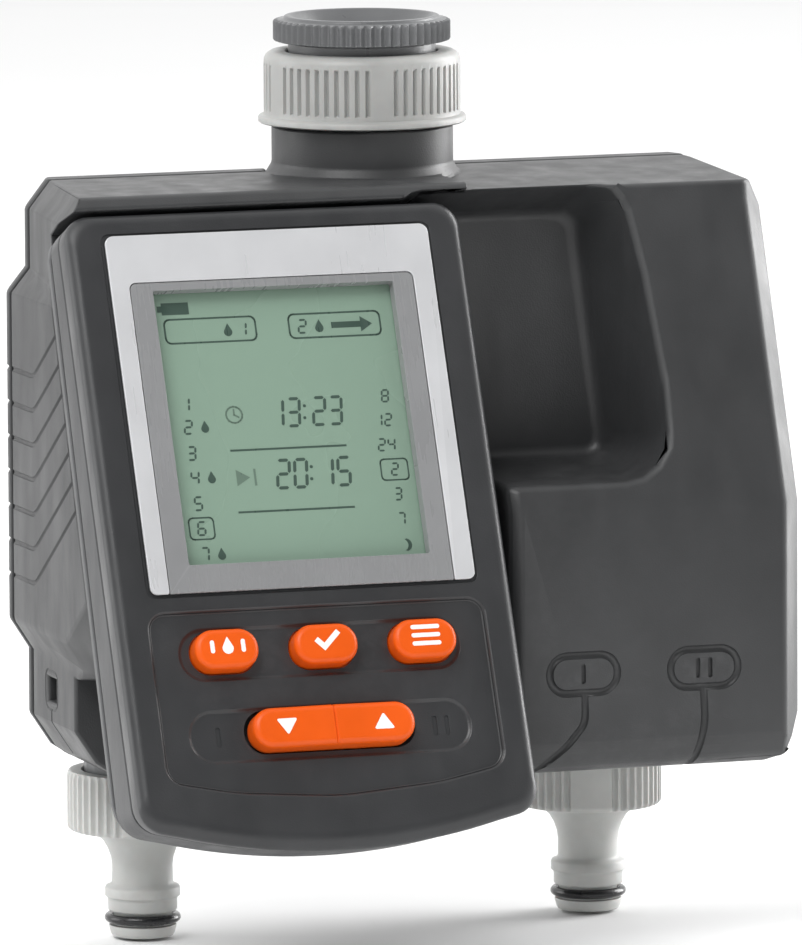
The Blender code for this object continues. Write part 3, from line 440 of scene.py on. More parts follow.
def inset(points, distance):
    """The outline moved inward by a distance, with mitred corners."""
    area = sum(a[0] * b[1] - b[0] * a[1] for a, b in zip(points, points[1:] + points[:1]))
    side = -1.0 if area > 0 else 1.0
    result = []
    for i, (x, z) in enumerate(points):
        before = Vector((x - points[i - 1][0], z - points[i - 1][1])).normalized()
        following = points[(i + 1) % len(points)]
        after = Vector((following[0] - x, following[1] - z)).normalized()
        a = Vector((before.y, -before.x)) * side
        b = Vector((after.y, -after.x)) * side
        mitre = (a + b) / max(0.2, 1.0 + a.dot(b))
        result.append((x + mitre.x * distance, z + mitre.y * distance))
    return result


def at_depth(points, depth):
    """The outline at a depth, which may be a function of height."""
    return [(x, depth(z) if callable(depth) else depth, z) for x, z in points]


def plate_into(shape, points, low, high):
    """A flat outline in X and Z with its thickness along Y."""
    loft_into(shape, [at_depth(points, high), at_depth(points, low)])


def raised_sections(points, back, front, round_over, steps):
    """Loops of a plate whose front edge is rounded over; front is the smaller Y."""
    sections = [at_depth(points, back)]
    for i in range(steps + 1):
        angle = math.pi / 2 * i / steps
        sections.append(at_depth(inset(points, round_over * (1 - math.cos(angle))),
                                 front + round_over * (1 - math.sin(angle))))
    return sections


def cutter_object(shape, at):
    """Turn a bmesh in millimetres into a cutter that faces outward."""
    bmesh.ops.recalc_face_normals(shape, faces=shape.faces)
    if shape.calc_volume(signed=True) < 0.0:
        bmesh.ops.reverse_faces(shape, faces=shape.faces)
    return scene_object(shape, "cutter", at)


def apply_modifiers(obj):
    mesh = bpy.data.meshes.new_from_object(obj.evaluated_get(bpy.context.evaluated_depsgraph_get()))
    obj.modifiers.clear()
    old = obj.data
    obj.data = mesh
    bpy.data.meshes.remove(old)


def carve(obj, at, *shapes):
    """Cut bmeshes in millimetres out of an object."""
    cutters = [cutter_object(shape, at) for shape in shapes]
    for cutter in cutters:
        step = obj.modifiers.new("cut", "BOOLEAN")
        step.operation = "DIFFERENCE"
        step.solver = "EXACT"
        step.object = cutter
    apply_modifiers(obj)
    for cutter in cutters:
        bpy.data.objects.remove(cutter)


BEND_TO_ROUND = math.radians(24.0)
WIDEST_ROUNDING = 3.0
SKIN_SHARP = 38.0


def softened(node, material, width):
    """A copy of a CAD node with rounded edges; width(middle, bend) gives each one's radius in mm."""
    shape = bmesh.new()
    shape.from_mesh(NODES[node].data)
    bmesh.ops.remove_doubles(shape, verts=shape.verts, dist=0.00001)
    bmesh.ops.dissolve_limit(shape, angle_limit=math.radians(0.6), verts=shape.verts, edges=shape.edges)
    weight = shape.edges.layers.float.new("bevel_weight_edge")
    back = HOUSING_FRAME.inverted()
    for edge in shape.edges:
        if len(edge.link_faces) != 2:
            continue
        bend = edge.calc_face_angle_signed(0.0)
        middle = (back @ ((edge.verts[0].co + edge.verts[1].co) / 2)) / MM
        if abs(bend) > BEND_TO_ROUND:
            edge[weight] = width(middle, bend) / WIDEST_ROUNDING
    mesh = bpy.data.meshes.new(node + "_skin")
    shape.to_mesh(mesh)
    shape.free()
    mesh.materials.clear()
    mesh.materials.append(M[material])
    obj = new_object(node + "_skin", mesh)
    rounding = obj.modifiers.new("rounding", "BEVEL")
    rounding.limit_method = "WEIGHT"
    rounding.width = WIDEST_ROUNDING * MM
    rounding.segments = 4
    rounding.use_clamp_overlap = False
    apply_modifiers(obj)
    resharpen(obj, SKIN_SHARP)
    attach(obj, NODES[node]["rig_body"])
    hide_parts(node)
    return obj


# ------------------------ grooves

TUBE_SIDES = 10


def tube_into(shape, path, radius, closed=False):
    """A round tube along a path of 3-D points, used to engrave lines."""
    turns = [2 * math.pi * k / TUBE_SIDES for k in range(TUBE_SIDES)]
    points = [Vector(p) for p in path]
    count = len(points)
    rings = []
    for i, point in enumerate(points):
        before = points[i - 1] if (i or closed) else point
        after = points[(i + 1) % count] if (i < count - 1 or closed) else point
        along = (after - before).normalized()
        if rings:
            side = (side - along * side.dot(along)).normalized()
        else:
            helper = Vector((0.31, 0.17, 0.93)) if abs(along.z) < 0.9 else Vector((1.0, 0.1, 0.0))
            side = along.cross(helper).normalized()
        up = side.cross(along)
        rings.append([shape.verts.new(point + (side * math.cos(a) + up * math.sin(a)) * radius)
                      for a in turns])
    if not closed:
        skin_into(shape, rings)
        cap_into(shape, rings)
        return
    turned = [[rings[0][(i + k) % TUBE_SIDES] for i in range(TUBE_SIDES)] for k in range(TUBE_SIDES)]
    nearest = min(turned, key=lambda ring: sum((a.co - b.co).length for a, b in zip(rings[-1], ring)))
    skin_into(shape, rings + [nearest])


def tube(path, radius, closed=False):
    shape = bmesh.new()
    tube_into(shape, path, radius, closed)
    return shape


def bend_path(points, radius, steps=5):
    """Round the corners of an open 3-D path."""
    result = [Vector(points[0])]
    for before, here, after in zip(points, points[1:], points[2:]):
        here = Vector(here)
        a, b = Vector(before) - here, Vector(after) - here
        reach = min(radius, a.length * 0.45, b.length * 0.45)
        start, end = here + a.normalized() * reach, here + b.normalized() * reach
        for i in range(steps + 1):
            t = i / steps
            result.append(start * (1 - t) ** 2 + here * 2 * t * (1 - t) + end * t ** 2)
    result.append(Vector(points[-1]))
    return result


def dock_face(z):
    """The depth at which the housing's side ends at a height, where the control unit sits."""
    return -56.6 + 0.3766 * (z - 69.8)


CHEVRON_TOP = 131.6
CHEVRON_PITCH = 7.9
CHEVRONS = [CHEVRON_TOP - CHEVRON_PITCH * i for i in range(7)]
CHEVRON_RADIUS = 0.62
CHEVRON_BEND = -12.0
CHEVRON_RISE = 0.65
SIDE_FACE = -83.1
REAR_SLOPE = ((SIDE_FACE, 4.0), (SIDE_FACE, 8.2), (-81.6, 12.0), (-80.8, 14.0), (-78.9, 18.0))


def chevron_path(z):
    """A groove that runs forward along the side and then rises up to the dock."""
    reach = 0.0
    while CHEVRON_BEND - reach > dock_face(z + reach * CHEVRON_RISE) - 3.0:
        reach += 0.5
    end = (SIDE_FACE, CHEVRON_BEND - reach, z + reach * CHEVRON_RISE)
    return bend_path([(SIDE_FACE, 8.0, z), (SIDE_FACE, CHEVRON_BEND, z), end], 2.0, 3)


BOX_FACE = -63.4
VALVE_MARKS = ((30.65, 1), (59.7, 2))
VALVE_Z = 64.6
VALVE_LINE = 0.95
VALVE_STEMS = (((31.0, BOX_FACE, 60.2), (31.0, BOX_FACE, 53.2), (26.6, BOX_FACE, 48.2), (21.6, -61.5, 43.8),
                (16.0, -53.0, 38.8)),
               ((59.5, BOX_FACE, 60.2), (59.9, BOX_FACE, 52.6), (59.1, BOX_FACE, 48.2), (58.1, -61.5, 43.8),
                (57.0, -53.0, 38.8)))
SIGN_FACE = -78.7
SIGN_STEM = ((SIGN_FACE, -9.4, 54.9), (SIGN_FACE, -9.4, 51.9), (-73.6, -9.4, 44.3))


def housing_grooves():
    """The lines cut into the front housing: chevrons, two valve signs and the sign on its left side."""
    chevrons = bmesh.new()
    for z in CHEVRONS:
        tube_into(chevrons, chevron_path(z), CHEVRON_RADIUS)
    lines = [chevrons]
    for (x, _), stem in zip(VALVE_MARKS, VALVE_STEMS):
        outline = [(px, BOX_FACE, pz) for px, pz in pill(x, VALVE_Z, 16.2, 8.6, 8)]
        lines += [tube(outline, VALVE_LINE, closed=True), tube(bend_path(stem, 2.0, 4), VALVE_LINE)]
    outline = [(SIGN_FACE, y, z) for y, z in rectangle(-14.0, -4.9, 54.9, 63.8, 2.4, 4)]
    return lines + [tube(outline, 0.45, closed=True), tube(bend_path(SIGN_STEM, 1.0, 3), 0.5)]


STROKE_HALF = 0.55
STROKE_REACH = 2.3
STROKE_PITCH = 2.9


def marks_into(shape, x, z, count, back, front):
    """One or two short upright strokes that number a valve."""
    for i in range(count):
        middle = x + (i - (count - 1) / 2) * STROKE_PITCH
        outline = rectangle(middle - STROKE_HALF, middle + STROKE_HALF, z - STROKE_REACH, z + STROKE_REACH,
                            0.5, 3)
        plate_into(shape, outline, front, back)


def front_width(point, bend):
    """Edge radii of the front housing by place; most edges inside a hollow corner stay sharp."""
    x, y, z = point
    hollow = bend < 0.0
    on_box = y < -50.0
    in_recess = -7.0 < x < 58.0 and y < -21.0 and z > 104.0
    if -9.0 < x < 18.0 and z > 167.5 and y < -20.0:
        return 0.25
    if in_recess and x < 3.0 and z > 159.0:
        return 0.4
    if in_recess:
        return 2.6 if hollow else 1.6
    if hollow:
        on_step = 10.0 < x < 15.0 and y < -40.0
        return 0.5 if on_step or z > 173.5 else 0.0
    if y > 3.6:
        return 0.5
    if x < -68.0 and z > 150.0 or 9.0 < x < 17.0 and z > 160.0:
        return 0.35
    if z > 170.0 and abs(x) > 24.0:
        return 1.1
    if on_box and z < 50.0:
        return 1.5 if x < 76.0 else 0.4
    return 1.2 if x > 76.0 or on_box else 0.9


def rear_width(point, bend):
    if bend < 0.0:
        return 0.0
    return 0.2 if point.y > 20.0 else 0.6


def housing_pieces():
    skin = softened("front_housing", "housing_front", front_width)
    carve(skin, HOUSING_FRAME, *housing_grooves())
    strokes = bmesh.new()
    for x, count in VALVE_MARKS:
        marks_into(strokes, x, VALVE_Z, count, BOX_FACE + 0.8, BOX_FACE - 1.0)
    carve(skin, HOUSING_FRAME, strokes)
    resharpen(skin, SKIN_SHARP)

    rear = softened("rear_housing", "housing_rear", rear_width)
    notches = bmesh.new()
    for z in CHEVRONS:
        tube_into(notches, [(x, y, z) for x, y in REAR_SLOPE], CHEVRON_RADIUS)
    carve(rear, HOUSING_FRAME, notches)
    resharpen(rear, SKIN_SHARP)


# ------------------------ control unit shells

UNIT_HALF = 46.8
UNIT_TOP = 120.5
UNIT_LOW = -28.6
UNIT_ARC = 145.0
TOP_CORNER = 6.0
LOW_CORNER = 6.5
UNIT_SHARP = 40.0
SLOT_HIGH = 17.4
SLOT_LOW = -1.5
BUTTON_X = 23.3
BUTTON_Z = 17.8
BUTTON_SHIFT = 0.6
BUTTON_PLACES = (BUTTON_SHIFT - BUTTON_X, BUTTON_SHIFT, BUTTON_SHIFT + BUTTON_X)
ROCKER_Z = -0.9


def unit_outline(inwards=0.0, rise=0.0):
    """The unit's outline drawn in all round, with its bowed lower edge raised as well."""
    half, top, low = UNIT_HALF - inwards, UNIT_TOP - inwards, UNIT_LOW + inwards + rise
    centre, reach = low + UNIT_ARC, half - LOW_CORNER
    edge = centre - math.sqrt(UNIT_ARC ** 2 - reach ** 2)
    slope = math.degrees(math.asin(reach / UNIT_ARC))
    points = arc((half - TOP_CORNER, top - TOP_CORNER), TOP_CORNER, 0, 90, 7)
    points += arc((-half + TOP_CORNER, top - TOP_CORNER), TOP_CORNER, 90, 180, 7)
    points += arc((-half + LOW_CORNER, edge + LOW_CORNER), LOW_CORNER, 180, 270 - slope, 7)
    points += arc((0.0, centre), UNIT_ARC, 270 - slope, 270 + slope, 24)[1:-1]
    points += arc((half - LOW_CORNER, edge + LOW_CORNER), LOW_CORNER, 270 + slope, 360, 7)
    return points


def split_depth(z):
    """The depth of the seam between the unit's two shells at a height."""
    return 13.6 + (112.0 - z) * 0.043


def seam_offset(distance):
    return lambda z: split_depth(z) + distance


def steps_into(shape, points, steps):
    """A solid through one outline drawn in by several distances, each at its depth."""
    loft_into(shape, [at_depth(inset(points, distance), depth) for distance, depth in steps])


def cup_into(shape, points, floor, flare, fillet):
    """A cutter for a shallow recess with a filleted floor and a rounded rim."""
    steps_into(shape, points, ((fillet, floor), (fillet * 0.3, floor - fillet * 0.3), (0.0, floor - fillet),
                               (-0.02, flare), (-flare * 0.3, flare * 0.3), (-flare, -0.02),
                               (-flare - 0.6, -1.2)))


FACE_ROUND = 2.6
FACE_STEPS = 6


def unit_front_shell():
    shape = bmesh.new()
    sections = []
    for i in range(FACE_STEPS + 1):
        angle = math.pi / 2 * i / FACE_STEPS
        drawn_in = 1 - math.sin(angle)
        sections.append(at_depth(unit_outline(FACE_ROUND * drawn_in, 1.4 * drawn_in),
                                 FACE_ROUND * (1 - math.cos(angle))))
    sections += [at_depth(unit_outline(groove, rise), depth) for groove, rise, depth in
                 ((0.0, 0.9, 6.2), (0.5, 1.0, 6.5), (0.5, 1.1, 7.1), (0.0, 1.2, 7.4))]
    sections += [at_depth(unit_outline(0.0, 2.9), seam_offset(-0.9)),
                 at_depth(unit_outline(0.25, 3.2), split_depth)]
    loft_into(shape, sections)
    shell = finished(shape, "control_front_skin", "unit_front", "control_unit",
                     UNIT_FRAME, UNIT_SHARP, ("control_front_shell",))
    hollow = bmesh.new()
    loft_into(hollow, [at_depth(unit_outline(2.8), 2.2), at_depth(unit_outline(2.2, 3.2), seam_offset(1.0))])
    window = bmesh.new()
    plate_into(window, rectangle(-31.4, 31.4, 34.0, 105.0, 1.5), -1.0, 4.0)
    seat = bmesh.new()
    cup_into(seat, rectangle(-38.9, 38.9, 30.8, 115.5, 1.9), 0.32, 0.25, 0.05)
    panel = bmesh.new()
    low = [(-39.4, -11.4), (-24.0, -14.6), (0.0, -16.5), (24.0, -14.6), (39.4, -11.4)]
    border = rounded([(39.2, 27.0), (-39.2, 27.0)] + low, [3.6, 3.6, 4.2, 60.0, 60.0, 60.0, 4.2], 6)
    cup_into(panel, border, 0.95, 0.9, 0.4)
    carve(shell, UNIT_FRAME, hollow, window, seat, panel)
    slots = bmesh.new()
    for points in (pill(0.0, SLOT_HIGH, 65.4, 11.4), pill(0.0, SLOT_LOW, 65.6, 11.6)):
        steps_into(slots, points, ((0.55, 1.7), (0.1, 1.6), (-0.25, 1.25), (-0.75, 0.8), (-1.1, 0.62),
                                   (-1.3, -1.0)))
    holes = bmesh.new()
    for x in BUTTON_PLACES:
        plate_into(holes, pill(x, BUTTON_Z, 15.6, 9.9), 0.5, 4.0)
    plate_into(holes, pill(0.0, ROCKER_Z, 40.2, 10.1), 0.5, 4.0)
    strokes = bmesh.new()
    marks_into(strokes, -26.2, SLOT_LOW, 1, 1.98, 0.8)
    marks_into(strokes, 26.2, SLOT_LOW, 2, 1.98, 0.8)
    carve(shell, UNIT_FRAME, slots, holes, strokes)
    resharpen(shell, UNIT_SHARP)


LIP_DROP = 1.8
LIP_STARTS = -10.0
LIP_FADE = 8.0


def unit_rear_shell():
    """The rear shell, with its lower lip drawn down to meet the front shell's edge."""
    shell = softened("control_rear_shell", "unit_rear",
                     lambda point, bend: 0.0 if bend < 0.0 else 0.5)
    to_unit = UNIT_FRAME.inverted()
    for vert in shell.data.vertices:
        place = to_unit @ vert.co
        place.z -= LIP_DROP * MM * min(1.0, max(0.0, (LIP_STARTS - place.z / MM) / LIP_FADE))
        vert.co = UNIT_FRAME @ place
    softened("battery_cover", "unit_rear", lambda point, bend: 0.0)


# ------------------------ display

LCD_DEPTH = 2.6
SLANT = 0.1
PRINT_SHARP = 30.0


def display():
    shape = bmesh.new()
    frame_line = [(38.2, 31.4), (38.2, 114.9), (-38.2, 114.9), (-38.2, 31.4),
                  (-33.9, 31.4), (-33.9, 103.8), (33.3, 103.8), (33.3, 31.4)]
    outline = rounded(frame_line, [1.6, 2.0, 2.0, 1.6, 0.4, 1.6, 1.6, 0.4], 6)
    loft_into(shape, raised_sections(outline, -0.3, -0.9, 0.2, 3))
    finished(shape, "display_frame_skin", "silver", "control_unit", UNIT_FRAME, UNIT_SHARP,
             ("display_frame",))
    shape = bmesh.new()
    outer = rounded([(33.1, 31.4), (33.1, 103.6), (-33.7, 103.6), (-33.7, 31.4)], [0.3, 1.5, 1.5, 0.3], 6)
    opening = rounded([(28.3, 37.8), (28.3, 101.7), (-28.5, 101.7), (-28.5, 37.8)], 0.5, 6)
    ring_into(shape, [at_depth(inset(outer, 0.15), -0.86), at_depth(outer, -0.72), at_depth(outer, -0.3),
                      at_depth(inset(opening, -1.6), -0.3), at_depth(inset(opening, -1.6), 2.1),
                      at_depth(opening, 2.1), at_depth(opening, -0.74),
                      at_depth(inset(opening, -0.12), -0.86)])
    finished(shape, "display_window_skin", "mask", "control_unit", UNIT_FRAME, UNIT_SHARP,
             ("display_window",))
    shape = bmesh.new()
    loft_into(shape, raised_sections(rectangle(-30.8, 30.8, 35.2, 104.2, 0.6), 3.8, LCD_DEPTH, 0.2, 2))
    finished(shape, "lcd_panel", "lcd", "control_unit", UNIT_FRAME, UNIT_SHARP, ("lcd_glass",))
    lcd_marks()


def flat_into(shape, points):
    """A thin shape on the display ground."""
    plate_into(shape, points, LCD_DEPTH - 0.05, LCD_DEPTH + 0.02)


def stroke_into(shape, path, width, closed=False):
    """A flat line of even width on the display ground, as one closed sliver per segment."""
    points = [Vector(p) for p in path]
    spans = list(zip(points, points[1:]))
    if closed:
        spans.append((points[-1], points[0]))
    for a, b in spans:
        along = (b - a).normalized() * width / 2
        across = Vector((-along.y, along.x))
        ends = [a - along + across, b + along + across, b + along - across, a - along - across]
        flat_into(shape, [tuple(p) for p in ends])


DIGIT_SEGMENTS = {"0": "abcdef", "1": "bc", "2": "abged", "3": "abgcd", "4": "fgbc", "5": "afgcd",
                  "6": "afgedc", "7": "abc", "8": "abcdefg"}


def digit_into(shape, character, x, z, width, height, thick):
    """A seven-segment numeral, leaning a little, with mitred segment ends."""
    half = thick / 2
    gap = thick * 0.14 + half * 0.2
    middle = height / 2
    bars = {"a": (0, height, width, height), "g": (0, middle, width, middle), "d": (0, 0, width, 0),
            "f": (0, middle, 0, height), "e": (0, 0, 0, middle), "b": (width, middle, width, height),
            "c": (width, 0, width, middle)}
    for key in DIGIT_SEGMENTS[character]:
        x1, z1, x2, z2 = bars[key]
        if z1 == z2:
            a, b = x1 + gap, x2 - gap
            outline = [(a, z1), (a + half, z1 + half), (b - half, z1 + half), (b, z1), (b - half, z1 - half),
                       (a + half, z1 - half)]
        else:
            a, b = z1 + gap, z2 - gap
            outline = [(x1, a), (x1 + half, a + half), (x1 + half, b - half), (x1, b), (x1 - half, b - half),
                       (x1 - half, a + half)]
        flat_into(shape, [(x + px + pz * SLANT, z + pz) for px, pz in outline])


def number_into(shape, text, x, z, width, height, thick, step):
    """Numerals and colons in a row, from the lower left corner of the first."""
    for character in text:
        if character == ":":
            for share in (0.28, 0.72):
                px = x + height * share * SLANT - step * 0.12
                pz = z + height * share
                flat_into(shape, rectangle(px - thick * 0.5, px + thick * 0.5, pz - thick * 0.5,
                                           pz + thick * 0.5, thick * 0.4, 3))
            x += step * 0.42
        else:
            digit_into(shape, character, x, z, width, height, thick)
            x += step


def drop_outline(x, z, size):
    """A water drop with its tip up."""
    points = [(x, z + size)]
    points += arc((x, z - size * 0.28), size * 0.62, 35, -215, 12)
    return points


# width, height, thickness and step of each size of numeral
CLOCK = (2.7, 6.3, 0.7, 3.9)
RUN_TIME = (2.8, 6.4, 0.74, 4.1)
ROW_NUMBER = (1.7, 3.0, 0.46, 2.4)
ROW_VALUE = (1.5, 2.7, 0.42, 2.3)
ROW_VALUES = ((75.8, "8"), (70.2, "12"), (64.4, "24"), (58.6, "2"), (52.8, "3"), (47.0, "7"))


def lcd_marks():
    """What the display shows: clock numerals, numbered rows, drops and lines, and no lettering."""
    shape = bmesh.new()
    number_into(shape, "13", -3.7, 69.8, *CLOCK)
    number_into(shape, ":23", 4.6, 69.8, *CLOCK)
    number_into(shape, "20", -4.2, 55.5, *RUN_TIME)
    number_into(shape, ":15", 4.3, 55.5, *RUN_TIME)
    for z in (64.7, 50.3):
        stroke_into(shape, [(-14.0, z), (13.0, z)], 0.45)
    for i, z in enumerate((75.9, 70.6, 64.5, 58.8, 52.8, 47.0, 41.0)):
        number_into(shape, str(i + 1), -24.3, z - 1.5, *ROW_NUMBER)
        if i in (1, 3, 6):
            flat_into(shape, drop_outline(-19.4, z - 0.1, 1.5))
        if i == 5:
            stroke_into(shape, rectangle(-26.2, -20.4, z - 2.5, z + 2.5, 1.0, 3), 0.34, True)
    for i, (z, text) in enumerate(ROW_VALUES):
        number_into(shape, text, 23.0 - 2.3 * (len(text) - 1), z - 1.35, *ROW_VALUE)
        if i == 3:
            stroke_into(shape, rectangle(20.6, 27.0, z - 2.5, z + 2.4, 0.9, 3), 0.34, True)
    moon = arc((24.0, 40.9), 1.5, 75, -75, 8) + list(reversed(arc((23.2, 40.9), 1.45, 62, -62, 8)))
    flat_into(shape, moon)
    flat_into(shape, [(-26.0, 96.9), (-19.6, 96.9), (-19.6, 99.7), (-26.0, 99.7), (-26.0, 99.0),
                      (-27.0, 99.0), (-27.0, 97.6), (-26.0, 97.6)])
    for left, right in ((-25.8, -4.4), (3.5, 25.1)):
        stroke_into(shape, rectangle(left, right, 90.2, 95.8, 1.3, 4), 0.4, True)
    number_into(shape, "1", -8.6, 91.4, *ROW_NUMBER)
    flat_into(shape, drop_outline(-11.0, 92.8, 1.6))
    number_into(shape, "2", 5.6, 91.4, *ROW_NUMBER)
    flat_into(shape, drop_outline(10.6, 92.8, 1.6))
    flat_into(shape, [(13.5, 92.2), (20.4, 92.2), (20.4, 91.1), (23.2, 92.9), (20.4, 94.7), (20.4, 93.6),
                      (13.5, 93.6)])
    finished(shape, "lcd_marks", "segment", "control_unit", UNIT_FRAME, PRINT_SHARP)
    shape = bmesh.new()
    stroke_into(shape, arc((-12.2, 73.0), 1.9, 0, 337.5, 15), 0.36, True)
    stroke_into(shape, [(-12.2, 74.2), (-12.2, 73.0), (-11.2, 72.4)], 0.36)
    flat_into(shape, [(-13.6, 60.2), (-13.6, 56.4), (-10.4, 58.3)])
    stroke_into(shape, [(-9.2, 60.0), (-9.2, 56.6)], 0.5)
    finished(shape, "lcd_faint_marks", "faint", "control_unit", UNIT_FRAME, PRINT_SHARP)


# ------------------------ keys

KEY_FRONT = -2.9
ROCKER_FRONT = -3.4
ROCKER_SLOPE = 0.028
ARROW_X = 11.3


def button(name, x, symbol):
    """A key with the collar that keeps it in the shell, and the symbol printed on it."""
    shape = bmesh.new()
    collar = pill(x, BUTTON_Z, 17.1, 11.4)
    stem = pill(x, BUTTON_Z, 14.9, 9.2)
    sections = [at_depth(collar, 3.2), at_depth(collar, 2.5), at_depth(stem, 2.45)]
    sections += raised_sections(stem, 2.2, KEY_FRONT, 1.5, 7)[1:]
    loft_into(shape, sections)
    finished(shape, name + "_cap", "orange", name, UNIT_FRAME, PRINT_SHARP, (name,))
    shape = bmesh.new()
    symbol(shape, x)
    finished(shape, name + "_symbol", "symbol", name, UNIT_FRAME, PRINT_SHARP)


def print_into(shape, points, front=KEY_FRONT):
    """A thin shape on the face of a key."""
    plate_into(shape, points, front - 0.04, front + 0.05)


def bar_into(shape, x, z, half_width, half_height):
    print_into(shape, rectangle(x - half_width, x + half_width, z - half_height, z + half_height, 0.45, 3))


def manual_symbol(shape, x):
    """A watering drop between two rising strokes."""
    print_into(shape, drop_outline(x, BUTTON_Z + 0.5, 2.1))
    for side in (-1, 1):
        bar_into(shape, x + side * 3.6, BUTTON_Z + 0.4, 0.5, 1.5)


def confirm_symbol(shape, x):
    """A tick."""
    points = [(-3.0, 0.5), (-2.1, 1.4), (-0.7, 0.0), (2.4, 3.0), (3.3, 2.1), (-0.7, -1.8)]
    print_into(shape, [(x + px, BUTTON_Z + pz) for px, pz in points])


def menu_symbol(shape, x):
    """Three bars."""
    for rise in (-1.3, 0.6, 2.5):
        bar_into(shape, x, BUTTON_Z + rise, 3.4, 0.5)


def rocker():
    """A long key that slopes back from its middle, where a groove runs, with an arrow at each end."""
    shape = bmesh.new()
    loft_into(shape, raised_sections(pill(0.0, ROCKER_Z, 38.0, 9.3), 2.8, ROCKER_FRONT, 1.6, 7))
    for cut_x in (-0.35, 0.0, 0.35):
        bmesh.ops.bisect_plane(shape, geom=shape.verts[:] + shape.edges[:] + shape.faces[:],
                               plane_co=(cut_x, 0, 0), plane_no=(1, 0, 0), dist=0.0001)
    for vert in shape.verts:
        if vert.co.y < -1.0:
            vert.co.y += ROCKER_SLOPE * abs(vert.co.x)
            if abs(vert.co.x) < 0.1:
                vert.co.y += 0.35
    finished(shape, "rocker_cap", "orange", "rocker_key", UNIT_FRAME, 24.0, ("rocker_key",))
    shape = bmesh.new()
    for x, upward in ((-ARROW_X, -1), (ARROW_X, 1)):
        arrow = [(x - 2.5, ROCKER_Z - 1.8 * upward), (x + 2.5, ROCKER_Z - 1.8 * upward),
                 (x, ROCKER_Z + 2.0 * upward)]
        print_into(shape, rounded(arrow, 0.3, 3), ROCKER_FRONT)
    for vert in shape.verts:
        vert.co.y += ROCKER_SLOPE * abs(vert.co.x)
    finished(shape, "rocker_symbols", "symbol", "rocker_key", UNIT_FRAME, PRINT_SHARP)


# ------------------------ nuts and nipples

RIB_STEPS = 8
RING_SHARP = 50.0


def ribbed_ring(name, material, body, replaced, x, profile, steps, rule, depth):
    """A turned ring with grip ribs.

    A profile point is a radius, a height and, where there are ribs, its share of their depth.
    rule(share of a turn) says how deep the grooves between the ribs are there, from 0 to 1.
    """
    shape = bmesh.new()
    turns = [2 * math.pi * i / steps for i in range(steps)]
    drops = [depth * rule(i / steps) for i in range(steps)]
    sections = []
    for radius, height, *share in profile:
        cut = share[0] if share else 0.0
        sections.append([(x + (radius - cut * drop) * math.cos(turn), (radius - cut * drop) * math.sin(turn),
                          height) for turn, drop in zip(turns, drops)])
    ring_into(shape, sections)
    finished(shape, name, material, body, HOUSING_FRAME, RING_SHARP, replaced)


NUT_FIRST_FLAT = -168.86 / 360
NUT_RIB_PITCH = 6.1 / 360
NUT_GROUP = 1 / 5
NUT_PITCHES = 59


def union_nut():
    """Five groups of nine grip ribs with a smooth flat between each two groups."""
    def rule(share):
        into_group = (share - NUT_FIRST_FLAT) % NUT_GROUP - NUT_GROUP / 2
        if abs(into_group) > 0.4 * NUT_GROUP:
            return 0.0
        phase = into_group / NUT_RIB_PITCH
        from_groove = abs(phase - math.floor(phase) - 0.5)
        return max(0.0, 1.0 - (from_groove / 0.2) ** 2) ** 0.6
    profile = [(13.3, 185.5), (23.4, 185.5), (23.8, 185.8), (23.8, 186.7), (23.5, 187.1),
               (22.6, 187.4), (22.5, 187.8), (22.5, 188.4), (22.5, 188.8, 1), (22.5, 194.0, 1),
               (22.5, 198.6, 1), (22.48, 199.2), (22.4, 200.2), (22.1, 200.9), (21.6, 201.4),
               (20.9, 201.8), (20.2, 201.9), (17.8, 201.9), (17.35, 201.5), (17.35, 188.0),
               (13.3, 188.0)]
    ribbed_ring("union_nut_skin", "nut", "union_nut", ("union_nut",), 0.0, profile,
                NUT_PITCHES * RIB_STEPS, rule, 0.95)


ADAPTER_RIBS = 56


def inlet_adapter():
    """The tap adapter: a ribbed ring round its top and an internal thread."""
    def rule(share):
        return (0.5 - 0.5 * math.cos(2 * math.pi * share * ADAPTER_RIBS)) ** 0.7
    thread = []
    for i in range(9):
        height = 206.4 - i * 0.9
        thread += [(13.25, height), (13.8, height - 0.45)]
    profile = [(9.4, 194.7), (9.4, 192.6), (16.6, 192.6), (16.9, 192.9), (16.9, 203.6),
               (17.4, 203.9), (19.4, 204.1), (20.1, 204.3, 0.6), (20.3, 204.6, 1), (20.3, 208.4, 1),
               (20.2, 208.8, 1), (19.5, 209.05, 0.3), (18.1, 209.15), (17.8, 209.4), (17.7, 209.75),
               (17.4, 209.9), (16.5, 209.9), (16.2, 209.6), (13.6, 207.0)]
    profile += thread + [(13.2, 197.6), (13.2, 194.7)]
    ribbed_ring("inlet_adapter_skin", "adapter", "inlet_adapter", ("inlet_adapter",), 0.0,
                profile, ADAPTER_RIBS * RIB_STEPS, rule, 1.05)


OUTLET_RIBS = 48
OUTLET_FLATS = (0.705, 0.205)
OUTLET_FLAT_HALF = 0.043


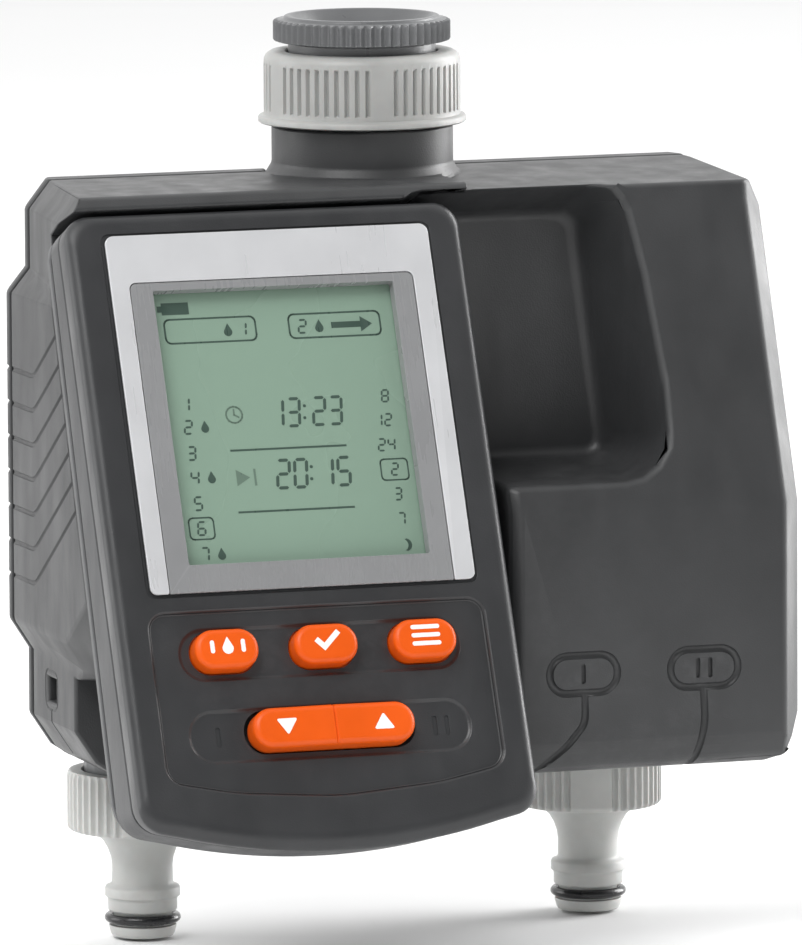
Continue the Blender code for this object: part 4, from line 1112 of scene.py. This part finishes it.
def outlet(side, name):
    """A hose connector with its ribbed nut, two smooth flats on the nut, and its o-ring."""
    x = side * OUTLET_X

    def rule(share):
        for flat in OUTLET_FLATS:
            if abs((share - flat + 0.5) % 1.0 - 0.5) < OUTLET_FLAT_HALF:
                return 0.0
        phase = (share * OUTLET_RIBS + 0.25) % 1.0
        return max(0.0, math.sin(math.pi * min(1.0, max(0.0, (phase - 0.15) / 0.7)))) ** 0.8
    profile = [(5.2, 26.0), (5.2, 0.9), (5.6, 0.35), (6.3, 0.1), (7.0, 0.3), (7.35, 0.9),
               (7.75, 2.4), (7.7, 2.75), (6.7, 2.9), (6.7, 5.9), (7.7, 6.05), (7.95, 6.4),
               (7.95, 8.6), (8.1, 9.1), (8.6, 9.5), (8.6, 11.3), (8.35, 11.75),
               (7.3, 12.15), (7.0, 12.8), (6.96, 16.6), (7.2, 18.4), (7.9, 20.5),
               (9.0, 22.4), (10.6, 23.8), (12.4, 24.5), (15.4, 24.75), (16.4, 25.0, 0.2),
               (16.95, 25.5, 0.8), (17.1, 26.2, 1),
               (17.1, 37.2, 1), (16.95, 38.2, 0.6), (16.6, 38.7), (16.0, 38.8), (13.9, 38.8),
               (13.6, 38.4), (13.6, 27.0), (5.2, 27.0)]
    # The outlets' grey carries painted light: it is paler than the union nut's copy of the same plastic.
    ribbed_ring(f"outlet_connector_{name}_skin", "light", f"outlet_{name}",
                (f"outlet_connector_{name}",), x, profile, OUTLET_RIBS * RIB_STEPS, rule, 0.9)
    ribbed_ring(f"outlet_o_ring_{name}_skin", "o_ring", f"outlet_{name}",
                (f"outlet_o_ring_{name}",), x, arc((7.72, 4.4), 1.04, 0, 340, 17), 72, lambda share: 0.0, 0.0)


# ------------------------ pieces carried over from the CAD

def both(*stems):
    return [f"{stem}_{side}" for stem in stems for side in ("left", "right")]


CARRIED = {
    "rubber": ["tap_washer", "inlet_washer", "housing_seal_lower", "control_seal", "keypad_mat"]
              + both("housing_seal", "diaphragm", "outlet_washer"),
    "socket": ["sensor_socket", "dock_contact_block"],
    "inner": ["inlet_manifold"] + both("valve_body", "valve_bonnet"),
    "white": ["inlet_filter", "lcd_carrier"],
    "coil": both("solenoid_coil"),
    "cable": both("coil_cable"),
    "board": ["circuit_board"],
    "battery": ["battery"],
    "brass": both("battery_contact"),
    "steel": both("plunger", "plunger_spring") + [f"housing_screw_{i}" for i in range(1, 6)]
             + [f"control_screw_{i}" for i in range(1, 5)],
}


def carried_over():
    """Give the CAD pieces that are shown as they are their materials."""
    for key, names in CARRIED.items():
        for name in names:
            NODES[name].data.materials.clear()
            NODES[name].data.materials.append(M[key])


# ------------------------ studio

FLOOR_HALF = 14.0
FLOOR_GAP = 0.0005
LIGHT_AIM = Vector((0.0, -0.02, -0.1))
SOFTBOXES = (("right_softbox", (1.9, 0.35, 0.35), (1.2, 1.8), 62.0),
             ("left_softbox", (-2.1, 0.9, 0.5), (1.4, 1.8), 17.0),
             ("front_softbox", (-1.4, -1.3, 2.1), (1.8, 1.4), 54.0))
WORLD_GREY = {"From Min": -1.0, "From Max": 0.6, "To Min": 0.17, "To Max": 1.2}


def studio():
    """A white floor, a world that is brighter behind the timer than in front, and three softboxes."""
    floor_mesh = bmesh.new()
    bmesh.ops.create_grid(floor_mesh, x_segments=2, y_segments=2, size=FLOOR_HALF)
    mesh = bpy.data.meshes.new("floor")
    floor_mesh.to_mesh(mesh)
    floor_mesh.free()
    floor = new_object("floor", mesh)
    floor.location = (0.0, 0.0, cad_box[0][2] - FLOOR_GAP)
    g = Graph("floor_paper")
    base = g.ramp(g.noise(1.5, 2.0), (0.3, (0.86, 0.86, 0.86)), (0.7, (0.9, 0.9, 0.9)))
    mesh.materials.append(g.finish(base, g.scaled(g.noise(8.0), 0.3, 0.7, 0.7, 0.85)))

    world = bpy.data.worlds.new("studio")
    bpy.context.scene.world = world
    world.use_nodes = True
    tree = world.node_tree
    background = tree.nodes["Background"]
    direction = tree.nodes.new("ShaderNodeTexCoord")
    split = tree.nodes.new("ShaderNodeSeparateXYZ")
    tree.links.new(direction.outputs["Generated"], split.inputs[0])
    behind = tree.nodes.new("ShaderNodeMapRange")
    for socket, value in WORLD_GREY.items():
        behind.inputs[socket].default_value = value
    tree.links.new(split.outputs["Y"], behind.inputs["Value"])
    tree.links.new(behind.outputs["Result"], background.inputs["Strength"])
    background.inputs["Color"].default_value = (1.0, 1.0, 1.0, 1.0)

    for name, place, size, power in SOFTBOXES:
        light = bpy.data.lights.new(name, "AREA")
        light.shape = "RECTANGLE"
        light.size, light.size_y = size
        light.energy = power
        lamp = new_object(name, light)
        lamp.location = place
        lamp.rotation_euler = (LIGHT_AIM - Vector(place)).to_track_quat("-Z", "Y").to_euler()
    bpy.context.scene.view_settings.view_transform = "Standard"


CAMERA_TURN = (18.86, 7.30, -0.312)
CAMERA_TARGET = Vector((0.00893, 0.0, -0.093))
CAMERA_DISTANCE = 2.938
CAMERA_LENS = 487.1


def camera():
    azimuth, elevation, roll = (math.radians(angle) for angle in CAMERA_TURN)
    back = Vector((-math.sin(azimuth) * math.cos(elevation), -math.cos(azimuth) * math.cos(elevation),
                   math.sin(elevation)))
    right = Vector((math.cos(azimuth), -math.sin(azimuth), 0.0))
    up = back.cross(right)
    turned_right = right * math.cos(roll) + up * math.sin(roll)
    turned_up = up * math.cos(roll) - right * math.sin(roll)
    data = bpy.data.cameras.new("view")
    data.sensor_width = 36.0
    data.lens = CAMERA_LENS
    data.clip_end = 60.0
    obj = new_object("view", data)
    place = CAMERA_TARGET + back * CAMERA_DISTANCE
    turn = Matrix((turned_right, turned_up, back)).transposed().to_4x4()
    obj.matrix_world = Matrix.Translation(place) @ turn
    bpy.context.scene.camera = obj


housing_pieces()
unit_front_shell()
unit_rear_shell()
display()
for node, place, symbol in zip(("button_manual", "button_ok", "button_menu"), BUTTON_PLACES,
                               (manual_symbol, confirm_symbol, menu_symbol)):
    button(node, place, symbol)
rocker()
union_nut()
inlet_adapter()
outlet(-1, "left")
outlet(1, "right")
carried_over()
studio()
camera()
